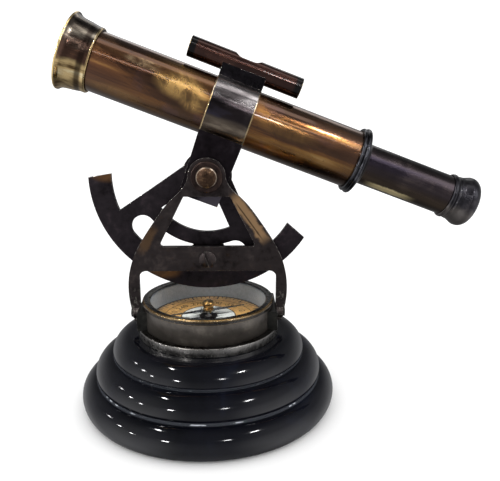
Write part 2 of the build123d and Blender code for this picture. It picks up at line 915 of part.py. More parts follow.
# ---------------------------------------------------------------- export
all_parts = (
    wooden_base,
    felt_pad,
    base_washer,
    base_bolt,
    flange_ring,
    compass_cup,
    compass_dial,
    needle_pin,
    compass_needle,
    needle_cap,
    glass_seat_ring,
    compass_glass,
    bezel_ring,
    left_lug,
    right_lug,
    a_frame,
    foot_screws,
    pivot_washer,
    pivot_screw,
    pivot_nut,
    clamp_collar,
    clamp_washer,
    clamp_nut,
    clamp_screw,
    sector_arc,
    sector_rivets,
    clamp_band,
    neck_plate,
    main_tube,
    objective_bell,
    objective_lens,
    lens_ring,
    rear_ferrule,
    level_saddle,
    level_tube,
    level_end_plugs,
    level_vial,
    draw_tube,
    draw_stop_ring,
    eyepiece_cap,
    eyepiece_lens,
    eyepiece_lens_ring,
)
for piece in all_parts:
    export_step(piece.part, f"parts/{piece.part.label}.step")
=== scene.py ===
import json
import math

import bmesh
import bpy
from mathutils import Matrix, Vector

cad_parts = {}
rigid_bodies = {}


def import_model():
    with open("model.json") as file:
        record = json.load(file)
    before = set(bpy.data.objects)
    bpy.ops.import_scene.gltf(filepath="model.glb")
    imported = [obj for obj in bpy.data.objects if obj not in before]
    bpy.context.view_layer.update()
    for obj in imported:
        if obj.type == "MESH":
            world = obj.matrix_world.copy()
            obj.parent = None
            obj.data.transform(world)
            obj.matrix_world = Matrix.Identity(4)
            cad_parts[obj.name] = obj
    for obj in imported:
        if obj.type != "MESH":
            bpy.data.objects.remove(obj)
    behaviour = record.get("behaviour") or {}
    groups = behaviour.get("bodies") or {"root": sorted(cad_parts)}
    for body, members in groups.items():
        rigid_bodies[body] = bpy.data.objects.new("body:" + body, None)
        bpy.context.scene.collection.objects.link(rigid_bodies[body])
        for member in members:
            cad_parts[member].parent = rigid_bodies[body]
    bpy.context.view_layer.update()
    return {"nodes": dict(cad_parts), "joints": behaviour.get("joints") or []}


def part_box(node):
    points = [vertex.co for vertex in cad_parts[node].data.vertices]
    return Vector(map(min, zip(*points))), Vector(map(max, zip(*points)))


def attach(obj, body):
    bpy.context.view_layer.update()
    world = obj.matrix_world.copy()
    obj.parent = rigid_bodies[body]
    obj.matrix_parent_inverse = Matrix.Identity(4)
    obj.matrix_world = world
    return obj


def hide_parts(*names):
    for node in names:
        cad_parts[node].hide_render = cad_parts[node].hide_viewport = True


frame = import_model()

MM = 0.001
JOINTS = {j["name"]: j for j in frame["joints"]}
scene = bpy.context.scene
scene.view_settings.view_transform = "Standard"
scene.view_settings.look = "None"


# ------------------------------------------------------------------ places
def centre(node):
    """Middle of a CAD node's box, in metres."""
    low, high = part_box(node)
    return (low + high) / 2


def local_frame(origin, x, y, z):
    """A matrix with the given axes and origin."""
    m = Matrix.Identity(4)
    for column, axis in enumerate((x, y, z)):
        for row in range(3):
            m[row][column] = axis[row]
    return Matrix.Translation(origin) @ m


PIVOT = Vector(JOINTS["tilt"]["pos_m"])
ALONG = Vector(JOINTS["draw_focus"]["axis"]).normalized()
FRONT = Vector((0, -1, 0))
ACROSS = FRONT.cross(ALONG).normalized()
TUBE_MIDDLE = centre("main_tube")
OPTIC = TUBE_MIDDLE - ALONG * (TUBE_MIDDLE - PIVOT).dot(ALONG)
OPTIC.y = TUBE_MIDDLE.y
# local z runs to the eyepiece, local x is up from the tube, local y faces the front
TUBE_FRAME = local_frame(OPTIC, ACROSS, FRONT, ALONG)
LEVEL_FRAME = local_frame(centre("level_vial"), ACROSS, FRONT, ALONG)
UPRIGHT = Matrix.Identity(4)


def facing(point):
    """A frame at the point whose local z comes out towards the front."""
    return local_frame(Vector(point), Vector((1, 0, 0)), Vector((0, 0, 1)), FRONT)


# ------------------------------------------------------------------ material helpers
def tone(r, g, b):
    """A display colour from 0 to 255, as the linear colour that the shader takes."""
    def channel(v):
        v = v / 255
        return v / 12.92 if v <= 0.04045 else ((v + 0.055) / 1.055) ** 2.4
    return (channel(r), channel(g), channel(b), 1.0)


def grey(value):
    """An even colour, used where one gloss is blended into another."""
    return (value, value, value, 1)


class Nodes:
    """Short calls that add nodes to a tree and return their sockets."""

    def __init__(self, tree):
        self.tree = tree

    def add(self, kind, inputs=None, **props):
        n = self.tree.nodes.new(kind)
        for key, value in props.items():
            setattr(n, key, value)
        for key, value in (inputs or {}).items():
            self.feed(n.inputs[key], value)
        return n

    def feed(self, socket, value):
        """Links the value if it is a socket, and sets it if it is a constant."""
        if isinstance(value, bpy.types.NodeSocket):
            self.tree.links.new(value, socket)
        else:
            socket.default_value = value

    def ramp(self, value, stops, interpolation="EASE"):
        """A colour ramp from (position, colour) stops."""
        n = self.add("ShaderNodeValToRGB", {"Fac": value})
        n.color_ramp.interpolation = interpolation
        elements = n.color_ramp.elements
        while len(elements) < len(stops):
            elements.new(0.5)
        for element, (position, colour) in zip(elements, stops):
            element.position = position
            element.color = colour
        return n.outputs["Color"]

    def between(self, value, low, high, out_low=0.0, out_high=1.0):
        """A smooth step from out_low to out_high between the two limits."""
        limits = {"From Min": low, "From Max": high, "To Min": out_low, "To Max": out_high}
        n = self.add("ShaderNodeMapRange", {"Value": value, **limits}, interpolation_type="SMOOTHSTEP")
        return n.outputs["Result"]

    def fade(self, value, full, none):
        """1 up to the first limit, falling to 0 at the second."""
        return self.between(value, full, none, 1.0, 0.0)

    def calc(self, operation, a, b=0.0, clamp=False):
        return self.add("ShaderNodeMath", {0: a, 1: b}, operation=operation, use_clamp=clamp).outputs[0]

    def plus(self, a, b):
        return self.calc("ADD", a, b)

    def minus(self, a, b):
        return self.calc("SUBTRACT", a, b)

    def times(self, a, *others):
        for b in others:
            a = self.calc("MULTIPLY", a, b)
        return a

    def apart(self, a, b):
        """The distance between two values."""
        return self.calc("ABSOLUTE", self.minus(a, b))

    def reach(self, a, b):
        """The length of the flat vector (a, b)."""
        return self.calc("SQRT", self.plus(self.times(a, a), self.times(b, b)))

    def waver(self, noise, amount):
        """The noise moved to lie around zero, and scaled."""
        return self.times(self.minus(noise, 0.5), amount)

    def blend(self, factor, a, b):
        factor_in, a_in, b_in, colour_out = 0, 6, 7, 2
        n = self.add("ShaderNodeMix", data_type="RGBA", blend_type="MIX")
        for key, value in ((factor_in, factor), (a_in, a), (b_in, b)):
            self.feed(n.inputs[key], value)
        return n.outputs[colour_out]


class Paint(Nodes):
    """A material under construction, in the object's own coordinates."""

    def __init__(self, name):
        self.material = bpy.data.materials.new(name)
        self.material.use_nodes = True
        super().__init__(self.material.node_tree)
        self.shader = self.tree.nodes["Principled BSDF"]
        self.coord = self.add("ShaderNodeTexCoord").outputs["Object"]

    def noise(self, scale, detail=5.0, rough=0.55, stretch=None, warp=0.0, shift=0.0):
        vector = self.coord
        if stretch or shift:
            place = (shift, shift * 0.7, -shift)
            vector = self.add("ShaderNodeMapping", {
                "Vector": self.coord, "Scale": stretch or (1, 1, 1), "Location": place}).outputs[0]
        return self.add("ShaderNodeTexNoise", {
            "Vector": vector, "Scale": scale, "Detail": detail, "Roughness": rough,
            "Distortion": warp}).outputs["Fac"]

    def xyz(self):
        return tuple(self.add("ShaderNodeSeparateXYZ", {"Vector": self.coord}).outputs)

    def wear(self):
        """How worn the mesh says this place is."""
        return self.add("ShaderNodeAttribute", attribute_name="wear").outputs["Fac"]

    def relief(self, height, distance, strength=1.0):
        n = self.add("ShaderNodeBump", {"Height": height, "Distance": distance, "Strength": strength})
        self.feed(self.shader.inputs["Normal"], n.outputs[0])

    def finish(self, colour, roughness, metallic=1.0, coat=0.0, specular=0.5):
        for key, value in (("Base Color", colour), ("Roughness", roughness)):
            self.feed(self.shader.inputs[key], value)
        self.shader.inputs["Metallic"].default_value = metallic
        self.shader.inputs["Coat Weight"].default_value = coat
        self.shader.inputs["Coat Roughness"].default_value = 0.05
        self.shader.inputs["Specular IOR Level"].default_value = specular
        return self.material


def metal(name, tones, worn, rough=(0.22, 0.42), patch=70, grain=420, stretch=(1, 1, 1), edge=0.5,
          scratches=0.00001, coat=0.0, extra=None, worn_where=None, metallic=1.0):
    """Aged metal: cloudy patina over a finer grain, worn edges, fine scratches, uneven gloss.

    Tones run from the patina's dark to its light, patch and grain are the two noises' scales, edge says
    how much of a worn edge is bare, and extra adds wear at places of its own.
    """
    first_stop, stops_span = 0.33, 0.34
    p = Paint(name)
    clouds = p.noise(patch, detail=6, rough=0.6, warp=0.4)
    fine = p.noise(grain, detail=4, rough=0.65, stretch=stretch, shift=0.3)
    mixed = p.plus(p.times(clouds, 0.62), p.times(fine, 0.38))
    step = stops_span / (len(tones) - 1)
    colour = p.ramp(mixed, [(first_stop + step * i, tone(*t)) for i, t in enumerate(tones)])
    gloss = p.between(p.plus(p.times(fine, 0.5), p.times(clouds, 0.5)), 0.35, 0.65, *rough)
    if extra:
        colour, gloss = extra(p, colour, gloss)
    chips = p.between(p.noise(900, detail=3, shift=0.9), 0.62 - 0.4 * edge, 0.72 - 0.3 * edge)
    bare = p.calc("MULTIPLY", p.wear(), chips, clamp=True)
    if worn_where:
        bare = p.times(bare, worn_where(p))
    colour = p.blend(bare, colour, worn)
    gloss = p.blend(bare, gloss, grey(0.25))
    lines = p.noise(2600, detail=2, stretch=(1, 1, 0.08), shift=0.5)
    pits = p.noise(1500, detail=2, shift=1.3)
    p.relief(p.plus(lines, pits), scratches)
    return p.finish(colour, gloss, metallic=metallic, coat=coat)


# ------------------------------------------------------------------ shape helpers
def three_point(a, b, c, steps=8):
    """Points of the arc through a, b and c, without a itself."""
    (ax, ay), (bx, by), (cx, cy) = a, b, c
    d = 2 * (ax * (by - cy) + bx * (cy - ay) + cx * (ay - by))
    ux = ((ax**2 + ay**2) * (by - cy) + (bx**2 + by**2) * (cy - ay) + (cx**2 + cy**2) * (ay - by)) / d
    uy = ((ax**2 + ay**2) * (cx - bx) + (bx**2 + by**2) * (ax - cx) + (cx**2 + cy**2) * (bx - ax)) / d
    radius = math.hypot(ax - ux, ay - uy)
    start, middle, end = (math.atan2(y - uy, x - ux) for x, y in (a, b, c))
    turn = (end - start) % (2 * math.pi)
    if (middle - start) % (2 * math.pi) > turn:
        turn -= 2 * math.pi
    angles = [start + turn * i / steps for i in range(1, steps + 1)]
    return [(ux + radius * math.cos(t), uy + radius * math.sin(t)) for t in angles]


def smooth_line(points, steps=6):
    """A Catmull-Rom line through the points, without the first one."""
    ends = [points[0], *points, points[-1]]
    out = []
    for i in range(1, len(ends) - 2):
        p0, p1, p2, p3 = ends[i - 1:i + 3]
        for k in range(1, steps + 1):
            t = k / steps
            out.append(tuple(
                0.5 * (2 * p1[j] + (p2[j] - p0[j]) * t + (2 * p0[j] - 5 * p1[j] + 4 * p2[j] - p3[j]) * t * t
                       + (3 * p1[j] - p0[j] - 3 * p2[j] + p3[j]) * t**3)
                for j in (0, 1)))
    return out


def rounded(profile):
    """Rounds the corners of a closed profile. A corner is (radius, height, fillet, wear)."""
    steps = 4
    largest_share = 0.45    # of the shorter side that a fillet may take
    out = []
    for i, corner in enumerate(profile):
        fillet = corner[2] if len(corner) > 2 else 0.0
        wear = corner[3] if len(corner) > 3 else 0.0
        here = Vector(corner[:2])
        if fillet <= 0:
            out.append((*here, wear))
            continue
        before = Vector(profile[i - 1][:2]) - here
        after = Vector(profile[(i + 1) % len(profile)][:2]) - here
        reach = min(fillet, largest_share * before.length, largest_share * after.length)
        a, b = here + before.normalized() * reach, here + after.normalized() * reach
        for k in range(steps + 1):
            t = k / steps
            point = a * (1 - t) ** 2 + here * 2 * t * (1 - t) + b * t * t
            out.append((*point, wear * math.sin(math.pi * t) ** 0.5 if 0 < t < 1 else 0.0))
    return out


def settle(name, bm, matrix, body, material, nodes):
    """Makes the object, places it, ties it to its body, and hides the CAD nodes that it replaces."""
    bmesh.ops.recalc_face_normals(bm, faces=bm.faces)
    mesh = bpy.data.meshes.new(name)
    bm.to_mesh(mesh)
    bm.free()
    mesh.shade_smooth()
    o = bpy.data.objects.new(name, mesh)
    scene.collection.objects.link(o)
    o.matrix_world = matrix
    if material:
        o.data.materials.append(material)
    even = o.modifiers.new("even_shading", "WEIGHTED_NORMAL")
    even.keep_sharp = True
    even.weight = 60
    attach(o, body)
    if nodes:
        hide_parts(*nodes)
    return o


def turned(name, body, profile, matrix, material, nodes=(), steps=128):
    """A closed piece of revolution about local z, from a profile in millimetres."""
    bm = bmesh.new()
    wear = bm.verts.layers.float.new("wear")
    rings = []
    for r, z, w in rounded(profile):
        count = 1 if r < 1e-6 else steps
        ring = []
        for i in range(count):
            a = 2 * math.pi * i / steps
            v = bm.verts.new((r * MM * math.cos(a), r * MM * math.sin(a), z * MM))
            v[wear] = w
            ring.append(v)
        rings.append(ring)
    for a, b in zip(rings, rings[1:] + rings[:1]):
        if len(a) == 1 and len(b) == 1:
            continue
        for i in range(steps):
            j = (i + 1) % steps
            corners = [a[i % len(a)], a[j % len(a)], b[j % len(b)], b[i % len(b)]]
            bm.faces.new(list(dict.fromkeys(corners)))
    return settle(name, bm, matrix, body, material, nodes)


def bevelled(name, node, body, material, width):
    """The CAD node's shape with softened edges, and those edges marked as worn."""
    weld = 2e-6
    flat_angle, sharp_angle = math.radians(0.7), math.radians(28)
    bm = bmesh.new()
    bm.from_mesh(frame["nodes"][node].data)
    wear = bm.faces.layers.float.new("wear")
    bmesh.ops.remove_doubles(bm, verts=bm.verts, dist=weld)
    bmesh.ops.dissolve_limit(bm, angle_limit=flat_angle, verts=bm.verts, edges=bm.edges)
    sharp = [e for e in bm.edges if len(e.link_faces) == 2 and e.calc_face_angle() > sharp_angle]
    made = bmesh.ops.bevel(bm, geom=sharp, offset=width * MM, offset_type="OFFSET", segments=3,
                           profile=0.5, affect="EDGES", clamp_overlap=True)
    for face in made["faces"]:
        face[wear] = 1.0
    return settle(name, bm, UPRIGHT, body, material, (node,))


# ------------------------------------------------------------------ materials
GOLD = tone(205, 165, 98)
PALE_GOLD = tone(222, 196, 140)
GREY_EDGE = tone(150, 146, 140)

# radius and height of the two grooves between the base's tiers, in millimetres
GROOVES = ((48.3, 12.9), (40.8, 22.8))


def lacquer():
    """Gloss black lacquer over turned wood: ripple, smudges, dust, and at the grooves painted highlights:
    grey lips and white glints.
    """
    p = Paint("gloss_black_lacquer")
    smudge = p.noise(38, detail=5, rough=0.6, warp=0.8)
    ripple = p.noise(95, detail=2, stretch=(1, 1, 1.6))
    dust = p.between(p.noise(2100, detail=2, shift=0.4), 0.70, 0.76)
    colour = p.ramp(smudge, [(0.3, tone(4, 5, 9)), (0.55, tone(8, 9, 16)), (0.75, tone(14, 17, 28))])
    colour = p.blend(p.times(dust, 0.25), colour, tone(60, 60, 64))
    x, y, z = p.xyz()
    radius = p.reach(x, y)
    # painted highlights at the grooves: glints that break into dashes, on the front only
    glints = p.between(p.noise(210, detail=4, rough=0.7, shift=0.7), 0.57, 0.60)
    front = p.fade(y, -0.030, -0.012)
    for groove_radius, groove_height in GROOVES:
        off = p.apart(radius, groove_radius * MM)
        rise = p.apart(z, groove_height * MM)
        # painted highlight: a grey lip just beside each groove
        painted_lip_highlight = p.times(p.between(off, 0.0005, 0.0013, 0.5, 0.0), p.fade(rise, 0.0006, 0.0012))
        colour = p.blend(painted_lip_highlight, colour, tone(104, 108, 116))
        # painted highlight: white glints in dashes right at each groove
        close = p.times(p.fade(off, 0.0002, 0.0005), p.fade(rise, 0.0004, 0.0008))
        painted_glint = p.times(close, glints, front)
        colour = p.blend(painted_glint, colour, tone(226, 230, 236))
    gloss = p.between(smudge, 0.35, 0.7, 0.05, 0.12)
    p.relief(ripple, 0.00004, 0.5)
    p.shader.inputs["IOR"].default_value = 1.37
    return p.finish(colour, gloss, metallic=0.0, specular=0.5)


def felt():
    p = Paint("green_felt")
    fibre = p.noise(1600, detail=6, rough=0.7)
    colour = p.ramp(fibre, [(0.3, tone(16, 42, 28)), (0.6, tone(30, 66, 44)), (0.8, tone(52, 92, 66))])
    p.relief(fibre, 0.0002)
    p.shader.inputs["Sheen Weight"].default_value = 0.4
    return p.finish(colour, p.between(fibre, 0.3, 0.7, 0.85, 1.0), metallic=0.0, specular=0.2)


def tinted_patches(spots, tint, strength=1.0, scale=130, steady=0.45):
    """Tinted patches around given places, for wear and for painted light: (x, z, reach in x, reach in z) in
    millimetres.
    """
    def paint(p, colour, gloss):
        x, _, z = p.xyz()
        break_up = p.noise(scale, detail=6, rough=0.65, warp=1.0)
        total = None
        for sx, sz, rx, rz in spots:
            dx = p.calc("DIVIDE", p.minus(x, sx * MM), rx * MM)
            dz = p.calc("DIVIDE", p.minus(z, sz * MM), rz * MM)
            near = p.fade(p.reach(dx, dz), 0.45, 1.0)
            total = near if total is None else p.calc("MAXIMUM", total, near)
        mask = p.times(total, p.between(break_up, 0.38, 0.62, steady, 1.0), strength)
        return p.blend(mask, colour, tint), p.blend(mask, gloss, grey(0.3))
    return paint


def worn_strip(start, end, half_width, tint, strength):
    """Brassy wear along a line between two (x, z) places, in millimetres."""
    length = math.hypot(end[0] - start[0], end[1] - start[1])
    ux, uz = (end[0] - start[0]) / length, (end[1] - start[1]) / length

    def paint(p, colour, gloss):
        x, _, z = p.xyz()
        dx = p.minus(x, start[0] * MM)
        dz = p.minus(z, start[1] * MM)
        along = p.plus(p.times(dx, ux), p.times(dz, uz))
        aside = p.apart(p.times(dx, uz), p.times(dz, ux))
        ragged = p.waver(p.noise(160, detail=6, rough=0.65, warp=1.0), half_width * 1.5 * MM)
        inside = p.fade(p.plus(aside, ragged), half_width * 0.4 * MM, half_width * MM)
        near_start = p.between(along, -0.002, 0.003)
        before_end = p.fade(along, (length - 4) * MM, (length + 2) * MM)
        mask = p.times(inside, p.times(near_start, before_end), strength)
        return p.blend(mask, colour, tint), p.blend(mask, gloss, grey(0.34))
    return paint


def tube_patina_and_painted_light(p, colour, gloss):
    """Long streaks, golden clouds, a red-brown end towards the objective, painted shade darkening the
    underside and a painted darker reflection along the top.

    It covers the plain patina whole, in colour and in gloss.
    """
    x, _, z = p.xyz()
    streaks = p.noise(210, detail=4, rough=0.6, stretch=(1, 1, 0.05), warp=0.25)
    bands = p.noise(95, detail=3, rough=0.5, stretch=(1, 1, 0.10), shift=0.17)
    clouds = p.noise(48, detail=5, rough=0.6, stretch=(1, 1, 0.45), warp=0.9, shift=0.6)
    mixed = p.plus(p.times(streaks, 0.45),
                   p.plus(p.times(bands, 0.30), p.times(clouds, 0.25)))
    colour = p.ramp(mixed, [
        (0.37, tone(46, 30, 23)), (0.45, tone(76, 51, 35)), (0.51, tone(112, 75, 42)),
        (0.57, tone(146, 106, 56)), (0.65, tone(180, 146, 94))])
    brown = p.between(z, -0.060, -0.020, 0.85, 0.0)
    colour = p.blend(brown, colour, p.ramp(mixed, [
        (0.38, tone(44, 28, 24)), (0.5, tone(84, 54, 37)), (0.62, tone(134, 96, 58))]))
    # painted shade: the underside of the tube darker
    under = p.plus(x, p.waver(clouds, 0.008))
    colour = p.blend(p.between(under, -0.0095, -0.003, 0.55, 0.0), colour, tone(80, 60, 38))
    colour = p.blend(p.between(z, 0.044, 0.056, 0.0, 0.55), colour, tone(74, 50, 38))
    # painted reflection: a darker, greyer band along the top of the tube
    colour = p.blend(p.between(x, 0.004, 0.0115, 0.0, 0.5), colour, tone(92, 72, 58))
    purple = p.times(p.between(p.noise(70, detail=4, shift=0.8), 0.56, 0.68), 0.35)
    colour = p.blend(purple, colour, tone(92, 68, 70))
    spots = p.between(p.noise(520, detail=3, shift=0.2), 0.66, 0.72)
    colour = p.blend(p.times(spots, 0.5), colour, tone(52, 34, 26))
    return colour, p.between(clouds, 0.35, 0.65, 0.16, 0.34)


def bell_reflections_and_shade(p, colour, gloss):
    """Painted reflections: grey with bright streaks above and bright brass below; dark red-brown in the
    middle; painted shade behind the collar.
    """
    x, _, z = p.xyz()
    streaks = p.noise(150, detail=5, stretch=(1, 1, 0.25), warp=0.4)
    ragged = p.waver(p.noise(120, detail=5, stretch=(1, 1, 0.4)), 0.012)
    height = p.plus(x, ragged)
    # painted reflection: grey with bright streaks over the top of the bell
    painted_top_reflection = p.ramp(streaks, [(0.38, tone(44, 38, 34)), (0.52, tone(84, 76, 68)), (0.66, tone(150, 140, 126))])
    colour = p.blend(p.between(height, 0.003, 0.007), colour, painted_top_reflection)
    # painted reflection of the floor: bright brass under the bell, with a smoother gloss
    brass = p.ramp(streaks, [
        (0.34, tone(96, 74, 46)), (0.48, tone(206, 180, 130)), (0.66, tone(240, 224, 182))])
    bright = p.fade(height, -0.0052, -0.0015)
    colour = p.blend(bright, colour, brass)
    # painted shade: a dark band just behind the collar
    painted_collar_shade = p.times(p.between(z, -0.0634, -0.0622), p.fade(z, -0.0610, -0.0600))
    colour = p.blend(p.times(painted_collar_shade, 0.75), colour, tone(40, 30, 26))
    return colour, p.blend(bright, gloss, grey(0.2))


def draw_patina_and_reflection(p, colour, gloss):
    """Grey-brown streaks, a violet bloom, a painted floor reflection along the underside, and one strip
    rubbed to bare brass on the lower front.
    """
    x, y, z = p.xyz()
    turn = p.calc("ARCTAN2", y, x)
    streak = p.noise(170, detail=5, rough=0.65, stretch=(1, 1, 0.06))
    sheen = p.times(p.between(streak, 0.48, 0.64), 0.3)
    colour = p.blend(sheen, colour, tone(74, 66, 70))
    bloom = p.apart(turn, 1.25)
    violet = p.times(p.between(bloom, 0.10, 0.36, 0.5, 0.0), p.between(z, 0.070, 0.100, 1.0, 0.2))
    colour = p.blend(violet, colour, tone(42, 38, 53))
    # painted reflection of the floor: paler brown along the underside
    low = p.times(p.fade(x, -0.0055, -0.0005), p.between(streak, 0.38, 0.6, 0.3, 0.9))
    colour = p.blend(low, colour, tone(76, 65, 54))
    jitter = p.waver(p.noise(420, detail=4, shift=0.3), 0.2)
    off = p.apart(p.plus(turn, jitter), 2.5)
    lengthwise = p.times(p.between(z, 0.063, 0.070), p.fade(z, 0.079, 0.089))
    strip = p.times(p.fade(off, 0.14, 0.26), lengthwise)
    return p.blend(strip, colour, tone(250, 230, 176)), p.blend(strip, gloss, grey(0.3))


def band_reflections_and_tint(p, colour, gloss):
    """Polished band, smoky in the middle with bluish clouds; painted reflections make it pale and streaky
    above and brown-grey below.
    """
    x, _, _ = p.xyz()
    cloud = p.noise(140, detail=5, stretch=(1, 1, 0.3))
    height = p.plus(x, p.waver(cloud, 0.006))
    # painted reflections: pale streaks over the top of the band, brown-grey along its underside
    upper = p.ramp(cloud, [
        (0.38, tone(128, 122, 122)), (0.52, tone(186, 180, 180)), (0.64, tone(232, 226, 224))])
    lower = p.ramp(cloud, [
        (0.38, tone(92, 82, 72)), (0.52, tone(136, 124, 110)), (0.64, tone(176, 162, 144))])
    colour = p.blend(p.between(height, 0.0035, 0.0080), colour, upper)
    colour = p.blend(p.fade(height, -0.0060, -0.0015), colour, lower)
    blue = p.times(p.between(cloud, 0.52, 0.62), 0.35)
    return p.blend(blue, colour, tone(76, 74, 92)), gloss


def level_patina(p, colour, gloss):
    """Black ends on the red-brown level tube."""
    _, _, z = p.xyz()
    ends = p.between(p.calc("ABSOLUTE", z), 0.0212, 0.0222)
    return p.blend(ends, colour, tone(18, 16, 16)), gloss


def paler_below(limit, tint):
    """Painted floor reflection: paler under the given height across the tube, in millimetres."""
    def paint(p, colour, gloss):
        x, _, _ = p.xyz()
        ragged = p.waver(p.noise(240, detail=4, shift=0.2), 0.006)
        low = p.between(p.plus(x, ragged), (limit - 3.5) * MM, limit * MM, 0.8, 0.0)
        return p.blend(low, colour, tint), gloss
    return paint


def flange_highlights_and_shade(p, colour, gloss):
    """Painted highlights as uneven pale streaks up the face, and painted shade on the top beside the cup."""
    _, _, z = p.xyz()
    streaks = p.noise(230, detail=4, rough=0.6, stretch=(1, 1, 0.08), shift=0.35)
    # painted highlights: pale streaks up the face
    colour = p.blend(p.between(streaks, 0.52, 0.68, 0.0, 0.5), colour, tone(140, 139, 138))
    # painted shade: a dark top beside the cup
    return p.blend(p.between(z, 0.0348, 0.0350), colour, tone(78, 75, 72)), gloss


def front_only(p):
    """Full wear on the front edge, none at the back."""
    return p.fade(p.xyz()[1], -0.012, 0.004)


def solder_marks(p, colour, gloss):
    """Mottled light spots where the legs meet the lugs."""
    _, _, z = p.xyz()
    low = p.fade(z, 0.046, 0.052)
    spots = p.times(p.between(p.noise(620, detail=4, warp=1.2), 0.54, 0.62), low)
    colour = p.blend(p.times(spots, 0.55), colour, tone(118, 116, 108))
    return colour, gloss


def both(*paints):
    """Several coats of wear, laid one over the other."""
    def paint(p, colour, gloss):
        for one in paints:
            colour, gloss = one(p, colour, gloss)
        return colour, gloss
    return paint


STAND_WEAR = both(
    worn_strip((-22.5, 77.5), (-28.5, 66.5), 2.6, tone(104, 80, 56), 0.6),
    worn_strip((11.2, 91.0), (25.0, 71.5), 2.7, tone(172, 139, 102), 0.85),
    worn_strip((12.2, 88.0), (23.6, 72.0), 0.4, tone(64, 52, 44), 0.8),
    # darker disc over the frame's head round the pivot
    tinted_patches([(0, 98.8, 9.5, 9.5)], tone(38, 29, 27), 0.6, steady=0.8),
    solder_marks)
SECTOR_WEAR = tinted_patches([(-19, 56.6, 9, 4.5), (-42, 100, 9, 5)], tone(112, 80, 50), 0.8, steady=0.6)
# painted reflection: a grey patch on the neck's lower end under the pivot
NECK_PAINTED_REFLECTION = tinted_patches([(2.5, 88.0, 9.0, 4.0)], tone(88, 83, 91), 0.75, steady=0.9)
TUBE_WEAR_AND_PAINTED_LIGHT = both(
    tube_patina_and_painted_light,
    tinted_patches([(3.0, -22.0, 6.5, 13.0), (0.0, -15.0, 6.0, 8.0)], tone(196, 156, 94), 0.85, 90, 0.25),
    # painted highlight: a pale streak on the upper side towards the objective
    tinted_patches([(6.4, -38.0, 2.0, 10.0)], tone(236, 206, 164), 0.5, 90, 0.1),
    tinted_patches([(-8.4, -46.0, 2.8, 15.0), (1.5, 24.0, 4.0, 18.0)], tone(140, 104, 60), 0.45, 90))
# painted floor reflection: the eye cap paler along its underside
CAP_FLOOR_REFLECTION = paler_below(-1.5, tone(104, 99, 96))
DRAWN = (1, 1, 0.06)    # grain of drawn tube, long along its axis

